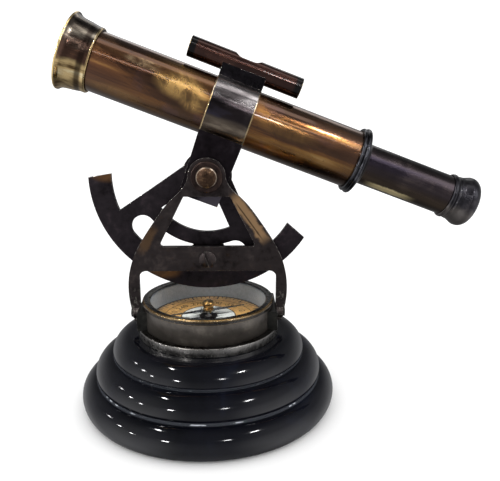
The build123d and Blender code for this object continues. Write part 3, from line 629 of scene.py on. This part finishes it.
M = {
    "lacquer": lacquer(),
    "felt": felt(),
    "stand": metal("blackened_stand_bronze", ((35, 31, 31), (51, 46, 46), (68, 61, 59)), GREY_EDGE,
                   rough=(0.3, 0.5), edge=0.42, extra=STAND_WEAR),
    "sector": metal("charcoal_sector_bronze", ((29, 26, 28), (41, 37, 40), (57, 49, 53)), GREY_EDGE,
                    rough=(0.32, 0.5), edge=0.35, extra=SECTOR_WEAR),
    "neck": metal("black_neck_bronze", ((20, 17, 19), (28, 24, 27), (42, 38, 42)), GREY_EDGE,
                  rough=(0.3, 0.48), edge=0.4, extra=NECK_PAINTED_REFLECTION),
    "cup": metal("satin_cup_bronze", ((58, 54, 50), (76, 71, 66), (100, 94, 87)), GOLD,
                 rough=(0.4, 0.54), patch=110, edge=0.9, metallic=0.6),
    "flange": metal("flange_bronze", ((92, 90, 88), (112, 110, 108), (138, 136, 133)), GREY_EDGE,
                    rough=(0.2, 0.36), patch=160, edge=0.6, extra=flange_highlights_and_shade),
    "bezel": metal("bezel_bronze", ((44, 43, 43), (58, 57, 56), (78, 76, 72)), GOLD,
                   rough=(0.2, 0.36), patch=150, edge=0.95, worn_where=front_only),
    "lug": metal("lug_bronze", ((28, 28, 27), (40, 40, 38), (58, 57, 54)), GREY_EDGE,
                 rough=(0.3, 0.5), patch=200, edge=0.4),
    "tube": metal("antique_tube_brass", ((90, 60, 38), (150, 110, 66)), PALE_GOLD,
                  edge=0.6, coat=0.35, extra=TUBE_WEAR_AND_PAINTED_LIGHT),
    "bell": metal("bell_bronze", ((44, 32, 28), (70, 52, 44), (104, 76, 60)), PALE_GOLD,
                  rough=(0.14, 0.3), edge=0.95, stretch=(1, 1, 0.15), extra=bell_reflections_and_shade),
    "level": metal("red_brown_level_bronze", ((34, 22, 20), (54, 34, 29), (84, 56, 46)), PALE_GOLD,
                   rough=(0.16, 0.3), stretch=DRAWN, edge=0.5, coat=0.3, extra=level_patina),
    "band": metal("polished_band_gunmetal", ((30, 27, 29), (44, 39, 41), (66, 60, 61)), PALE_GOLD,
                  rough=(0.12, 0.26), stretch=(1, 1, 0.2), edge=0.95, extra=band_reflections_and_tint),
    "saddle": metal("saddle_bronze", ((18, 17, 19), (27, 25, 28), (44, 42, 46)), GREY_EDGE,
                    rough=(0.22, 0.42), edge=0.45),
    "ferrule": metal("ferrule_black", ((34, 34, 37), (48, 48, 52), (74, 74, 78)), GREY_EDGE,
                     rough=(0.14, 0.28), edge=0.5),
    "draw": metal("draw_tube_gunmetal", ((32, 28, 29), (48, 42, 43), (80, 70, 66)), PALE_GOLD,
                  rough=(0.16, 0.32), stretch=DRAWN, edge=0.5, extra=draw_patina_and_reflection),
    "cap": metal("cap_black_gloss", ((26, 25, 28), (38, 37, 41), (60, 57, 60)), GREY_EDGE,
                 rough=(0.3, 0.42), edge=0.15, coat=0.15, extra=CAP_FLOOR_REFLECTION),
    "screw": metal("aged_screw_brass", ((38, 29, 24), (62, 47, 37), (104, 82, 62)), tone(184, 172, 156),
                   rough=(0.28, 0.45), patch=420, grain=1200, edge=0.9, scratches=0.00004),
    "washer": metal("brown_washer_bronze", ((32, 26, 25), (46, 37, 35), (64, 52, 47)), tone(128, 104, 84),
                    rough=(0.3, 0.46), patch=220, edge=0.9),
    "knob": metal("polished_cap_brass", ((104, 76, 42), (150, 116, 68), (190, 156, 100)), PALE_GOLD,
                  rough=(0.12, 0.24), patch=400, edge=0.6),
    "brass": metal("plain_lens_brass", ((120, 92, 54), (160, 128, 80), (190, 160, 108)), PALE_GOLD,
                   rough=(0.22, 0.36), patch=200),
    "steel": metal("zinc_steel", ((120, 120, 122), (150, 150, 152), (176, 176, 178)), tone(200, 200, 200),
                   rough=(0.25, 0.4), patch=300),
}


def card(name, low, high, flecks, share=0.0, metallic=0.0, rough=(0.45, 0.65), specular=0.4):
    """Printed card, foil or blued steel: fibre mottling and flecks of age."""
    p = Paint(name)
    fibre = p.noise(900, detail=6, rough=0.65)
    colour = p.ramp(fibre, [(0.32, low), (0.68, high)])
    age = p.between(p.noise(330, detail=4, warp=1.0, shift=0.4), 0.62 - share, 0.72)
    colour = p.blend(p.times(age, 0.55), colour, flecks)
    p.relief(fibre, 0.00003)
    return p.finish(colour, p.between(fibre, 0.3, 0.7, *rough), metallic=metallic, specular=specular)


M["copper_card"] = card("copper_gold_card", tone(206, 152, 80), tone(226, 182, 110), tone(84, 54, 28),
                        0.2, metallic=0.2, rough=(0.3, 0.5))
M["seat"] = card("grey_inner_wall", tone(126, 133, 140), tone(144, 150, 156), tone(108, 112, 118))
M["white_card"] = card("white_card", tone(196, 200, 196), tone(224, 226, 222), tone(150, 148, 136))
M["ink"] = card("black_ink", tone(14, 13, 13), tone(30, 28, 27), tone(46, 42, 38))
M["needle"] = card("blued_needle_steel", tone(52, 54, 58), tone(88, 92, 96), tone(30, 30, 34),
                   0.02, metallic=1.0, rough=(0.2, 0.36), specular=0.5)


def clear(name, tint, ior=1.5):
    """Clear glass with faint smears in its gloss."""
    p = Paint(name)
    smear = p.noise(60, detail=5, rough=0.6, warp=0.6)
    p.shader.inputs["Transmission Weight"].default_value = 1.0
    p.shader.inputs["IOR"].default_value = ior
    colour = p.ramp(smear, [(0.3, tint), (0.7, tuple(min(1.0, c * 1.04) for c in tint))])
    return p.finish(colour, p.between(smear, 0.4, 0.75, 0.01, 0.05), metallic=0.0)


M["glass"] = clear("compass_glass", (0.96, 0.97, 0.97, 1), ior=1.2)
M["lens"] = clear("coated_lens_glass", (0.86, 0.90, 0.97, 1), ior=1.6)
M["vial_glass"] = clear("vial_glass", (0.95, 0.97, 0.93, 1))
M["spirit"] = clear("vial_spirit", (0.72, 0.86, 0.22, 1), ior=1.36)


# ------------------------------------------------------------------ base
def tier_profile():
    """The three convex tiers, each ending in a small hollow groove, and the recess underneath."""
    felt_top = 1.0
    wood_top = 31.2
    recess_radius, recess_top = 8.0, 10.0
    bolt_hole = 2.56
    previous = (54.0, felt_top)
    # each tier: its widest point, then its upper end, as (radius, height)
    tiers = (((55.6, 6.0), (48.3, 12.6)), ((49.4, 15.6), (40.8, 22.5)), ((41.9, 24.4), (32.4, wood_top)))
    out = [(recess_radius, felt_top, 0.2), (previous[0] - 0.6, felt_top)]
    for (bulge_r, bulge_z), top in tiers:
        low = (bulge_r - 0.3 * (bulge_r - previous[0]), bulge_z - 0.6 * (bulge_z - previous[1]))
        high = (top[0] + 0.71 * (bulge_r - top[0]), bulge_z + 0.71 * (top[1] - bulge_z))
        out += [(*previous, 0.5)]
        out += three_point(previous, low, (bulge_r, bulge_z), 10)
        out += three_point((bulge_r, bulge_z), high, top, 20)[:-1]
        previous = top
    out += [(*previous, 0.8), (bolt_hole, wood_top), (bolt_hole, recess_top), (recess_radius, recess_top)]
    return out


turned("turned_base", "base", tier_profile(), UPRIGHT, M["lacquer"], ("wooden_base",),
       steps=256)
turned("felt_disc", "base", [(0, 0), (51.4, 0, 0.3), (52.0, 0.5, 0.2), (51.6, 1.0, 0.2), (0, 1.0)],
       UPRIGHT, M["felt"], ("felt_pad",), steps=160)

# ------------------------------------------------------------------ compass
turned("foot_ring", "alidade", [
    (20.0, 31.25), (30.5, 31.25, 0.15), (30.6, 31.5), (30.6, 34.8, 0.2, 0.6), (30.4, 35.0, 0.1),
    (20.0, 35.0)],
    UPRIGHT, M["flange"], ("flange_ring",), steps=192)

turned("compass_body", "alidade", [
    (0.6, 36.0), (26.2, 36.0, 0.2), (26.2, 44.0), (28.0, 44.0, 0.2, 0.3), (28.0, 35.0), (9.0, 35.0),
    (9.0, 31.3, 0.2), (2.5, 31.3), (2.5, 35.2), (0.6, 35.5)],
    UPRIGHT, M["cup"], ("compass_cup",), steps=192)

turned("compass_rim", "alidade", [
    (25.9, 45.6), (25.9, 44.0), (28.3, 44.0, 0.2), (28.3, 44.9, 0.15), (28.5, 45.1, 0.15, 0.3),
    (28.5, 45.75, 0.3, 0.3), (28.05, 46.2, 0.4, 1.0), (27.3, 46.2, 0.2), (27.1, 45.95, 0.15),
    (26.6, 45.95, 0.15), (26.4, 46.15, 0.2), (25.6, 46.15, 0.25, 0.3), (25.1, 45.8, 0.15), (25.1, 45.6)],
    UPRIGHT, M["bezel"], ("bezel_ring",), steps=224)

turned("glass_seat", "alidade", [
    (26.2, 36.6), (26.2, 44.0), (25.9, 44.0), (25.9, 44.4), (25.2, 44.4, 0.2), (25.2, 36.6)],
    UPRIGHT, M["seat"], ("glass_seat_ring",), steps=160)
clear_pieces = [turned("dial_glass", "alidade", [
    (0, 44.4), (25.85, 44.4, 0.2), (25.85, 45.55, 0.3), (0, 45.55)],
    UPRIGHT, M["glass"], ("compass_glass",), steps=160)]

DIAL_TOP = 36.6
PIN_HOLE = 1.5
turned("dial_card", "alidade", [
    (PIN_HOLE, 36.0), (26.2, 36.0), (26.2, DIAL_TOP, 0.1), (15.0, DIAL_TOP), (PIN_HOLE, DIAL_TOP)],
    UPRIGHT, M["copper_card"], ("compass_dial",), steps=160)


def raise_faces(bm, outlines, place, lift):
    """Closed prisms on flat outlines; place turns an outline's point into a position in metres."""
    for outline in outlines:
        face = bm.faces.new([bm.verts.new(place(*point)) for point in outline])
        raised = bmesh.ops.extrude_face_region(bm, geom=[face])
        corners = [v for v in raised["geom"] if isinstance(v, bmesh.types.BMVert)]
        bmesh.ops.translate(bm, vec=lift, verts=corners)


PRINT_THICKNESS = 0.02


def printed(name, outlines, height, material):
    """A thin print on the dial with real thickness, from outlines in millimetres."""
    bm = bmesh.new()
    raise_faces(bm, outlines, lambda x, y: (x * MM, y * MM, height * MM), (0, 0, PRINT_THICKNESS * MM))
    return settle(name, bm, UPRIGHT, "alidade", material, ())


def around(radius, angle):
    return (radius * math.cos(math.radians(angle)), radius * math.sin(math.radians(angle)))


def ring_parts(inner, outer, start=0.0, end=360.0, steps=96):
    """A flat ring or sector of one, as four-cornered outlines."""
    parts = []
    for i in range(steps):
        a = start + (end - start) * i / steps
        b = start + (end - start) * (i + 1) / steps
        parts.append([around(inner, a), around(outer, a), around(outer, b), around(inner, b)])
    return parts


ROSE_TURN = 21.0
ROSE_RADIUS = 11.6
TICKS_END = 24.4
printed("dial_rose_ground", ring_parts(PIN_HOLE, ROSE_RADIUS), DIAL_TOP, M["white_card"])

ink_marks = ring_parts(PIN_HOLE, 4.0) + ring_parts(ROSE_RADIUS, 12.1)
ink_marks += ring_parts(TICKS_END, 25.2) + ring_parts(19.4, 19.7)
# the tick's inner end and half width in degrees: every 30 degrees, every 10 and every 5
TICKS = ((21.2, 0.8), (22.0, 0.5), (22.8, 0.5))
for tick in range(72):
    angle = ROSE_TURN + tick * 5
    inner, half = TICKS[0 if tick % 6 == 0 else 1 + tick % 2]
    ink_marks += ring_parts(inner, TICKS_END, angle - half, angle + half, 1)
# a point's tip and waist radius, and its side in degrees: cardinal, between, and small
POINTS = ((11.4, 4.2, 22.5), (9.6, 3.8, 11.25), (7.0, 4.0, 11.25))
for point in range(16):
    angle = ROSE_TURN + point * 22.5
    tip, waist, side = POINTS[0 if point % 4 == 0 else 1 + point % 2]
    ink_marks.append([(0.0, 0.0), around(tip, angle), around(waist, angle + side)])
printed("dial_print", ink_marks, DIAL_TOP + PRINT_THICKNESS, M["ink"])


def baked_mesh(o):
    """The object's mesh with its modifiers, or its text, turned into faces."""
    bpy.context.view_layer.update()
    return bpy.data.meshes.new_from_object(o.evaluated_get(bpy.context.evaluated_depsgraph_get()))


def dial_numbers():
    """Small figures every 30 degrees on the copper ring."""
    figure_radius, figure_size = 15.8, 4.2
    numbers = []
    for step in range(12):
        angle = ROSE_TURN + step * 30
        curve = bpy.data.curves.new("dial_number", "FONT")
        curve.body = str((360 - step * 30) % 360)
        curve.size = figure_size * MM
        curve.align_x = "CENTER"
        curve.align_y = "CENTER"
        curve.extrude = 0.01 * MM
        o = bpy.data.objects.new("dial_number", curve)
        scene.collection.objects.link(o)
        mesh = baked_mesh(o)
        x, y = around(figure_radius, angle)
        mesh.transform(Matrix.Translation((x * MM, y * MM, (DIAL_TOP + 0.03) * MM))
                       @ Matrix.Rotation(math.radians(angle - 90), 4, "Z"))
        bpy.data.objects.remove(o)
        numbers.append(mesh)
    bm = bmesh.new()
    for mesh in numbers:
        bm.from_mesh(mesh)
    settle("dial_numbers", bm, UPRIGHT, "alidade", M["ink"], ())


dial_numbers()

NEEDLE_TURN = 21.0
NEEDLE_REACH = 17.0
NEEDLE_LOW = 39.2
NEEDLE_EDGE = 0.12
NEEDLE_RIDGE = 0.4


def needle():
    """A kite-shaped needle with a ridge along its middle."""
    bm = bmesh.new()
    bm.verts.layers.float.new("wear")
    rows = []
    # (place along the needle, half width)
    outline = [(-NEEDLE_REACH, NEEDLE_EDGE), (-9.0, 0.95), (-2.2, 1.75), (0.0, 1.85), (2.2, 1.75),
               (9.0, 0.95), (NEEDLE_REACH, NEEDLE_EDGE)]
    for x, half in outline:
        section = ((-half, 0.0), (-half, NEEDLE_EDGE), (0.0, NEEDLE_RIDGE), (half, NEEDLE_EDGE), (half, 0.0))
        rows.append([bm.verts.new((x * MM, y * MM, (NEEDLE_LOW + z) * MM)) for y, z in section])
    for a, b in zip(rows, rows[1:]):
        for i in range(5):
            bm.faces.new([a[i], a[(i + 1) % 5], b[(i + 1) % 5], b[i]])
    bm.faces.new(rows[0])
    bm.faces.new(rows[-1])
    heading = Matrix.Rotation(math.radians(NEEDLE_TURN), 4, "Z")
    o = settle("needle_blade", bm, heading, "needle", M["needle"], ("compass_needle",))
    o.data.shade_flat()
    o.modifiers.clear()


needle()
turned("needle_hub", "needle", [
    (0.6, 38.6), (1.55, 38.6, 0.15), (1.55, 39.6), (2.3, 39.6, 0.1), (2.4, 39.95, 0.1), (1.9, 40.2, 0.1),
    (1.85, 40.5), (2.45, 41.0, 0.3), (2.65, 41.6, 0.3), (2.65, 42.4, 0.4), (2.3, 43.3, 0.4), (1.3, 43.9, 0.3),
    (0, 44.0), (0, 42.8), (0.6, 42.3)],
    UPRIGHT, M["knob"], ("needle_cap",), steps=72)


def soften(rows):
    """Softened copies of CAD nodes: (name, node, body, material, bevel in millimetres)."""
    for name, node, body, finish, width in rows:
        bevelled(name, node, body, M[finish], width)


soften((
    ("left_side_lug", "left_lug", "alidade", "lug", 0.3),
    ("right_side_lug", "right_lug", "alidade", "lug", 0.3),
    ("leg_screws", "foot_screws", "alidade", "lug", 0.12),
    ("stand_plate", "a_frame", "alidade", "stand", 0.32),
    ("sector_plate", "sector_arc", "telescope", "sector", 0.25),
    ("neck_block", "neck_plate", "telescope", "neck", 0.3),
    ("band_saddle", "level_saddle", "telescope", "saddle", 0.25),
    ("sector_rivet_heads", "sector_rivets", "telescope", "sector", 0.2),
    ("clamp_screw_head", "clamp_screw", "clamp", "stand", 0.12),
    ("clamp_guide", "clamp_collar", "alidade", "neck", 0.2),
    ("clamp_rear_washer", "clamp_washer", "alidade", "stand", 0.2),
    ("clamp_rear_nut", "clamp_nut", "alidade", "screw", 0.25),
    ("pivot_rear_nut", "pivot_nut", "alidade", "screw", 0.3)))

PIVOT_FACE = facing((PIVOT.x, 0, PIVOT.z))
turned("pivot_front_washer", "alidade", [
    (2.5, 1.25), (6.6, 1.25), (6.6, 1.75, 0.3, 0.3), (6.3, 2.05, 0.25), (2.5, 2.05)],
    PIVOT_FACE, M["washer"], ("pivot_washer",), steps=96)
turned("pivot_screw_head", "alidade", [
    (0, -10.7), (2.5, -10.7, 0.3), (2.5, 2.05), (4.5, 2.05, 0.15), (4.5, 2.75, 0.25, 0.6),
    (4.15, 3.1, 0.2, 0.4), (3.2, 3.6, 0.4), (1.8, 3.95, 0.5), (0, 4.05)],
    PIVOT_FACE, M["screw"], ("pivot_screw",), steps=96)

# ------------------------------------------------------------------ telescope
turned("telescope_tube", "telescope", [
    (11.5, -61.1), (12.5, -61.1), (12.5, -30), (12.5, 0), (12.5, 30), (12.5, 58.0), (11.5, 58.0)],
    TUBE_FRAME, M["tube"], ("main_tube",), steps=192)

turned("tube_band", "telescope", [
    (12.52, -9.5), (13.55, -9.5, 0.3, 1.0), (13.8, -9.1, 0.15, 0.6), (13.8, 9.1, 0.15, 0.6),
    (13.55, 9.5, 0.3, 1.0), (12.52, 9.5)],
    TUBE_FRAME, M["band"], ("clamp_band",), steps=192)

BELL = [(12.52, -58.7), (13.4, -58.7, 0.3, 1.0), (13.7, -59.2, 0.3, 0.4), (13.7, -60.9)]
BELL += smooth_line([(13.7, -60.9), (14.15, -63.5), (14.6, -67.0), (15.1, -68.8), (16.02, -69.98)])
BELL += [(r, z, 0.0, 0.9) for r, z in three_point((16.02, -69.98), (16.08, -70.75), (15.4, -70.96), 8)]
BELL += smooth_line([(15.4, -70.96), (14.4, -69.6), (13.0, -67.4), (11.2, -64.6)])
BELL += [(11.2, -63.8, 0.2), (11.9, -63.8), (11.9, -61.1), (12.52, -61.1)]
turned("objective_flare", "telescope", BELL, TUBE_FRAME, M["bell"], ("objective_bell",),
       steps=192)

LENS = [(0, -61.15), (11.85, -61.15), (11.85, -63.75), (11.2, -63.78)]
for step in range(1, 12):
    t = math.pi / 2 * step / 12
    LENS.append((11.2 * math.cos(t), -63.8 - 0.55 * math.sin(t)))
LENS.append((0, -64.35))
clear_pieces.append(
    turned("front_lens", "telescope", LENS, TUBE_FRAME, M["lens"], ("objective_lens",), steps=96))
turned("front_lens_ring", "telescope", [
    (10.0, -61.1), (11.5, -61.1), (11.5, -58.6), (10.0, -58.6, 0.3)],
    TUBE_FRAME, M["brass"], ("lens_ring",), steps=96)

FERRULE = [(8.91, 45.0), (11.5, 45.0), (11.5, 58.0), (12.52, 58.0), (12.52, 56.2), (13.4, 56.2, 0.2)]
FERRULE += three_point((13.5, 56.25), (14.1, 57.0), (13.5, 57.75), 10)
FERRULE += three_point((13.5, 57.85), (14.5, 58.8), (13.5, 59.75), 14)
FERRULE += [(13.3, 59.95, 0.1), (12.1, 60.2, 0.4), (10.1, 61.1, 0.4, 0.5), (9.55, 61.7, 0.2, 0.5)]
FERRULE += [(8.91, 61.7)]
turned("tail_ferrule", "telescope", FERRULE, TUBE_FRAME, M["ferrule"], ("rear_ferrule",),
       steps=192)

# ------------------------------------------------------------------ spirit level
WINDOW_LENGTH, WINDOW_WIDTH = 11.6, 6.4
WINDOW_FLOOR, WINDOW_CUT = 0.8, 5.0


def level_body():
    """The level tube with a round-ended window cut down through its top."""
    o = turned("level_body", "telescope", [
        (3.4, -24.6), (4.4, -24.6, 0.25, 0.7), (4.4, -12), (4.4, 0), (4.4, 12), (4.4, 24.6, 0.25, 0.7),
        (3.4, 24.6)],
        LEVEL_FRAME, M["level"], ("level_tube",), steps=128)
    o.modifiers.clear()
    half, straight = WINDOW_WIDTH / 2, (WINDOW_LENGTH - WINDOW_WIDTH) / 2
    outline = []
    for end in (1, -1):
        for i in range(17):
            t = math.pi * (i / 16 - 0.5)
            outline.append((end * half * math.sin(t), end * (straight + half * math.cos(t))))
    bm = bmesh.new()
    raise_faces(bm, [outline], lambda y, z: (WINDOW_FLOOR * MM, y * MM, z * MM), (WINDOW_CUT * MM, 0, 0))
    bmesh.ops.recalc_face_normals(bm, faces=bm.faces)
    mesh = bpy.data.meshes.new("window_tool")
    bm.to_mesh(mesh)
    bm.free()
    tool = bpy.data.objects.new("window_tool", mesh)
    scene.collection.objects.link(tool)
    tool.matrix_world = LEVEL_FRAME
    cut = o.modifiers.new("window", "BOOLEAN")
    cut.object = tool
    cut.operation = "DIFFERENCE"
    cut.solver = "EXACT"
    baked = baked_mesh(o)
    o.modifiers.clear()
    o.data = baked
    bpy.data.objects.remove(tool)
    baked.set_sharp_from_angle(angle=math.radians(35))
    even = o.modifiers.new("even_shading", "WEIGHTED_NORMAL")
    even.keep_sharp = True


level_body()
bevelled("level_plugs", "level_end_plugs", "telescope", M["level"], 0.3)
VIAL = [(0, -20.2), (2.2, -20.2, 0.8), (2.85, -19.2, 0.6), (3.0, -8)]
VIAL += [(3.1, 0), (3.0, 8), (2.85, 19.2, 0.6), (2.2, 20.2, 0.8), (0, 20.2), (0, 18.6)]
VIAL += [(1.9, 18.6, 0.6), (2.4, 17.8, 0.5), (2.5, 0), (2.4, -17.8, 0.5), (1.9, -18.6, 0.6), (0, -18.6)]
clear_pieces.append(turned(
    "level_vial_tube", "telescope", VIAL, LEVEL_FRAME, M["vial_glass"], ("level_vial",),
    steps=64))
turned("level_spirit", "telescope", [
    (0, -18.5), (1.8, -18.5, 0.6), (2.3, -17.7, 0.5), (2.42, 0), (2.3, 17.7, 0.5), (1.8, 18.5, 0.6),
    (0, 18.5)],
    LEVEL_FRAME, M["spirit"], (), steps=64)
for name, middle in (("level_index_front", -2.6), ("level_index_rear", 2.6)):
    low, high = middle - 0.15, middle + 0.15
    turned(name, "telescope", [(3.1, low), (3.16, low), (3.16, high), (3.1, high)],
           LEVEL_FRAME, M["ink"], (), steps=64)

# ------------------------------------------------------------------ draw tube and eyepiece
turned("focus_tube", "eyepiece", [
    (7.95, 39.0), (8.85, 39.0), (8.85, 60), (8.85, 80), (8.85, 104.2), (7.95, 104.2)],
    TUBE_FRAME, M["draw"], ("draw_tube",), steps=160)

CAP = [(8.86, 101.2), (9.2, 101.2, 0.2, 0.3)]
CAP += three_point((9.3, 101.25), (9.85, 102.3), (9.45, 103.35), 10)
CAP += [(9.15, 103.7, 0.15), (9.15, 104.1, 0.15), (9.5, 104.4, 0.2)]
CAP += smooth_line([(9.6, 104.6), (9.75, 106.2), (10.3, 107.7), (10.9, 109.3), (10.98, 110.6), (10.7, 111.8),
                    (9.9, 113.0), (8.9, 113.7), (8.35, 113.8)], 5)
CAP += [(7.55, 113.8, 0.3), (4.6, 111.8, 0.3), (4.6, 110.0), (7.2, 110.0), (7.2, 104.2), (8.86, 104.2)]
turned("eye_cap", "eyepiece", CAP, TUBE_FRAME, M["cap"], ("eyepiece_cap",), steps=160)

soften((
    ("eye_lens", "eyepiece_lens", "eyepiece", "lens", 0.15),
    ("eye_lens_ring", "eyepiece_lens_ring", "eyepiece", "brass", 0.15),
    ("draw_stop", "draw_stop_ring", "eyepiece", "brass", 0.15),
    ("base_bolt_washer", "base_washer", "alidade", "steel", 0.15),
    ("base_hex_bolt", "base_bolt", "alidade", "steel", 0.2),
    ("needle_spike", "needle_pin", "alidade", "steel", 0.05)))


# ------------------------------------------------------------------ stage, lights and camera
def floor():
    """A wide pale floor, part of the stage and not of the object."""
    p = Paint("pale_floor")
    mottling = p.noise(3, detail=4)
    colour = p.ramp(mottling, [(0.3, tone(250, 250, 250)), (0.7, tone(253, 253, 253))])
    material = p.finish(colour, p.between(mottling, 0.3, 0.7, 0.9, 0.98), metallic=0.0, specular=0.0)
    bm = bmesh.new()
    bmesh.ops.create_circle(bm, cap_ends=True, radius=6.0, segments=64)
    mesh = bpy.data.meshes.new("floor")
    bm.to_mesh(mesh)
    bm.free()
    o = bpy.data.objects.new("floor", mesh)
    scene.collection.objects.link(o)
    o.data.materials.append(material)
    o.visible_glossy = False


def panel(name, place, target, size, watts, warmth=(1, 1, 1), diffuse=True):
    """A flat soft lamp that faces the target."""
    lamp = bpy.data.lights.new(name, "AREA")
    lamp.shape = "RECTANGLE"
    lamp.size, lamp.size_y = size
    lamp.energy = watts
    lamp.color = warmth
    o = bpy.data.objects.new(name, lamp)
    scene.collection.objects.link(o)
    o.location = place
    o.rotation_euler = (Vector(target) - Vector(place)).to_track_quat("-Z", "Y").to_euler()
    o.visible_camera = False
    o.visible_diffuse = diffuse
    return o


def world():
    """Even white surroundings. Polished metal mirrors a dimmer, graded version of them."""
    surroundings = bpy.data.worlds.new("studio")
    scene.world = surroundings
    surroundings.use_nodes = True
    n = Nodes(surroundings.node_tree)
    n.tree.nodes.clear()
    coord = n.add("ShaderNodeTexCoord").outputs["Generated"]
    sideways, depth, upward = n.add("ShaderNodeSeparateXYZ", {"Vector": coord}).outputs
    height = n.add("ShaderNodeMapRange", {"Value": upward, "From Min": -1.0}).outputs["Result"]
    # (height from 0 below to 1 above, brightness)
    levels = ((0.0, 0.50), (0.3, 0.62), (0.42, 0.60), (0.5, 0.54), (0.6, 0.48), (0.72, 0.30), (1.0, 0.26))
    graded = n.ramp(height, [(place, (v, v, v * 1.02, 1)) for place, v in levels], "LINEAR")
    behind = n.between(depth, -0.35, 0.35, 1.0, 0.42)
    sides = n.between(n.calc("ABSOLUTE", sideways), 0.25, 0.8, 0.9, 2.5)
    pale = n.add("ShaderNodeBackground", {"Color": (1, 1, 1, 1), "Strength": 1.35}).outputs[0]
    mirror = n.add("ShaderNodeBackground", {"Color": graded, "Strength": n.times(behind, sides)}).outputs[0]
    glossy = n.add("ShaderNodeLightPath").outputs["Is Glossy Ray"]
    mixed = n.add("ShaderNodeMixShader", {0: glossy, 1: pale, 2: mirror}).outputs[0]
    n.add("ShaderNodeOutputWorld", {0: mixed})


floor()
world()
for o in clear_pieces:
    o.visible_shadow = False
metalwork = bpy.data.collections.new("metalwork")
for o in scene.collection.objects:
    if o.type == "MESH" and o.name not in ("turned_base", "floor"):
        metalwork.objects.link(o)

MIDDLE = Vector((0, 0, 0.09))
for lamp in (
        panel("key_softbox", (-0.45, -0.45, 0.75), MIDDLE, (0.35, 0.35), 3.5, (1.0, 0.98, 0.95)),
        panel("fill_softbox", (0.65, -0.35, 0.5), MIDDLE, (0.4, 0.4), 1.6, (0.95, 0.97, 1.0)),
        panel("tube_strip", (0.0, -0.35, 0.41), MIDDLE, (0.7, 0.012), 0.42),
        panel("upper_strip", (0.0, -0.05, 0.75), MIDDLE, (0.8, 0.2), 0.9),
        panel("rear_softbox", (0.1, 0.7, 0.6), MIDDLE, (0.8, 0.3), 0.9)):
    lamp.light_linking.receiver_collection = metalwork

# small lamps that make the glints on the base: direction and height in degrees, watts, width in metres
SPOTS = ((-98, 30, 0.16, 0.04), (-78, 23, 0.34, 0.04), (-63, 16, 0.28, 0.04), (-82, 65, 0.95, 0.06),
         (-33.5, 21, 0.80, 0.06), (17.5, 35, 0.45, 0.06), (52, 53, 0.90, 0.07))
SPOT_DISTANCE = 0.7
SPOT_HEIGHT = 0.02
for index, (turn, lift, watts, width) in enumerate(SPOTS):
    a, e = math.radians(turn), math.radians(lift)
    direction = Vector((math.sin(a) * math.cos(e), -math.cos(a) * math.cos(e), math.sin(e)))
    place = direction * SPOT_DISTANCE
    panel(f"spot_{index}", place, MIDDLE, (width, SPOT_HEIGHT), watts, diffuse=False)

# the photograph's view, from the camera fit
VIEW_LENS = 42.28
VIEW_PLACE = (0.01107, -0.24383, 0.13402)
VIEW_TURN = (1.31950, -0.00384, -0.02828)
camera = bpy.data.cameras.new("photo_view")
camera.lens = VIEW_LENS
camera.sensor_width = 36.0
camera.clip_start = 0.01
eye = bpy.data.objects.new("photo_view", camera)
scene.collection.objects.link(eye)
eye.location = VIEW_PLACE
eye.rotation_euler = VIEW_TURN
scene.camera = eye
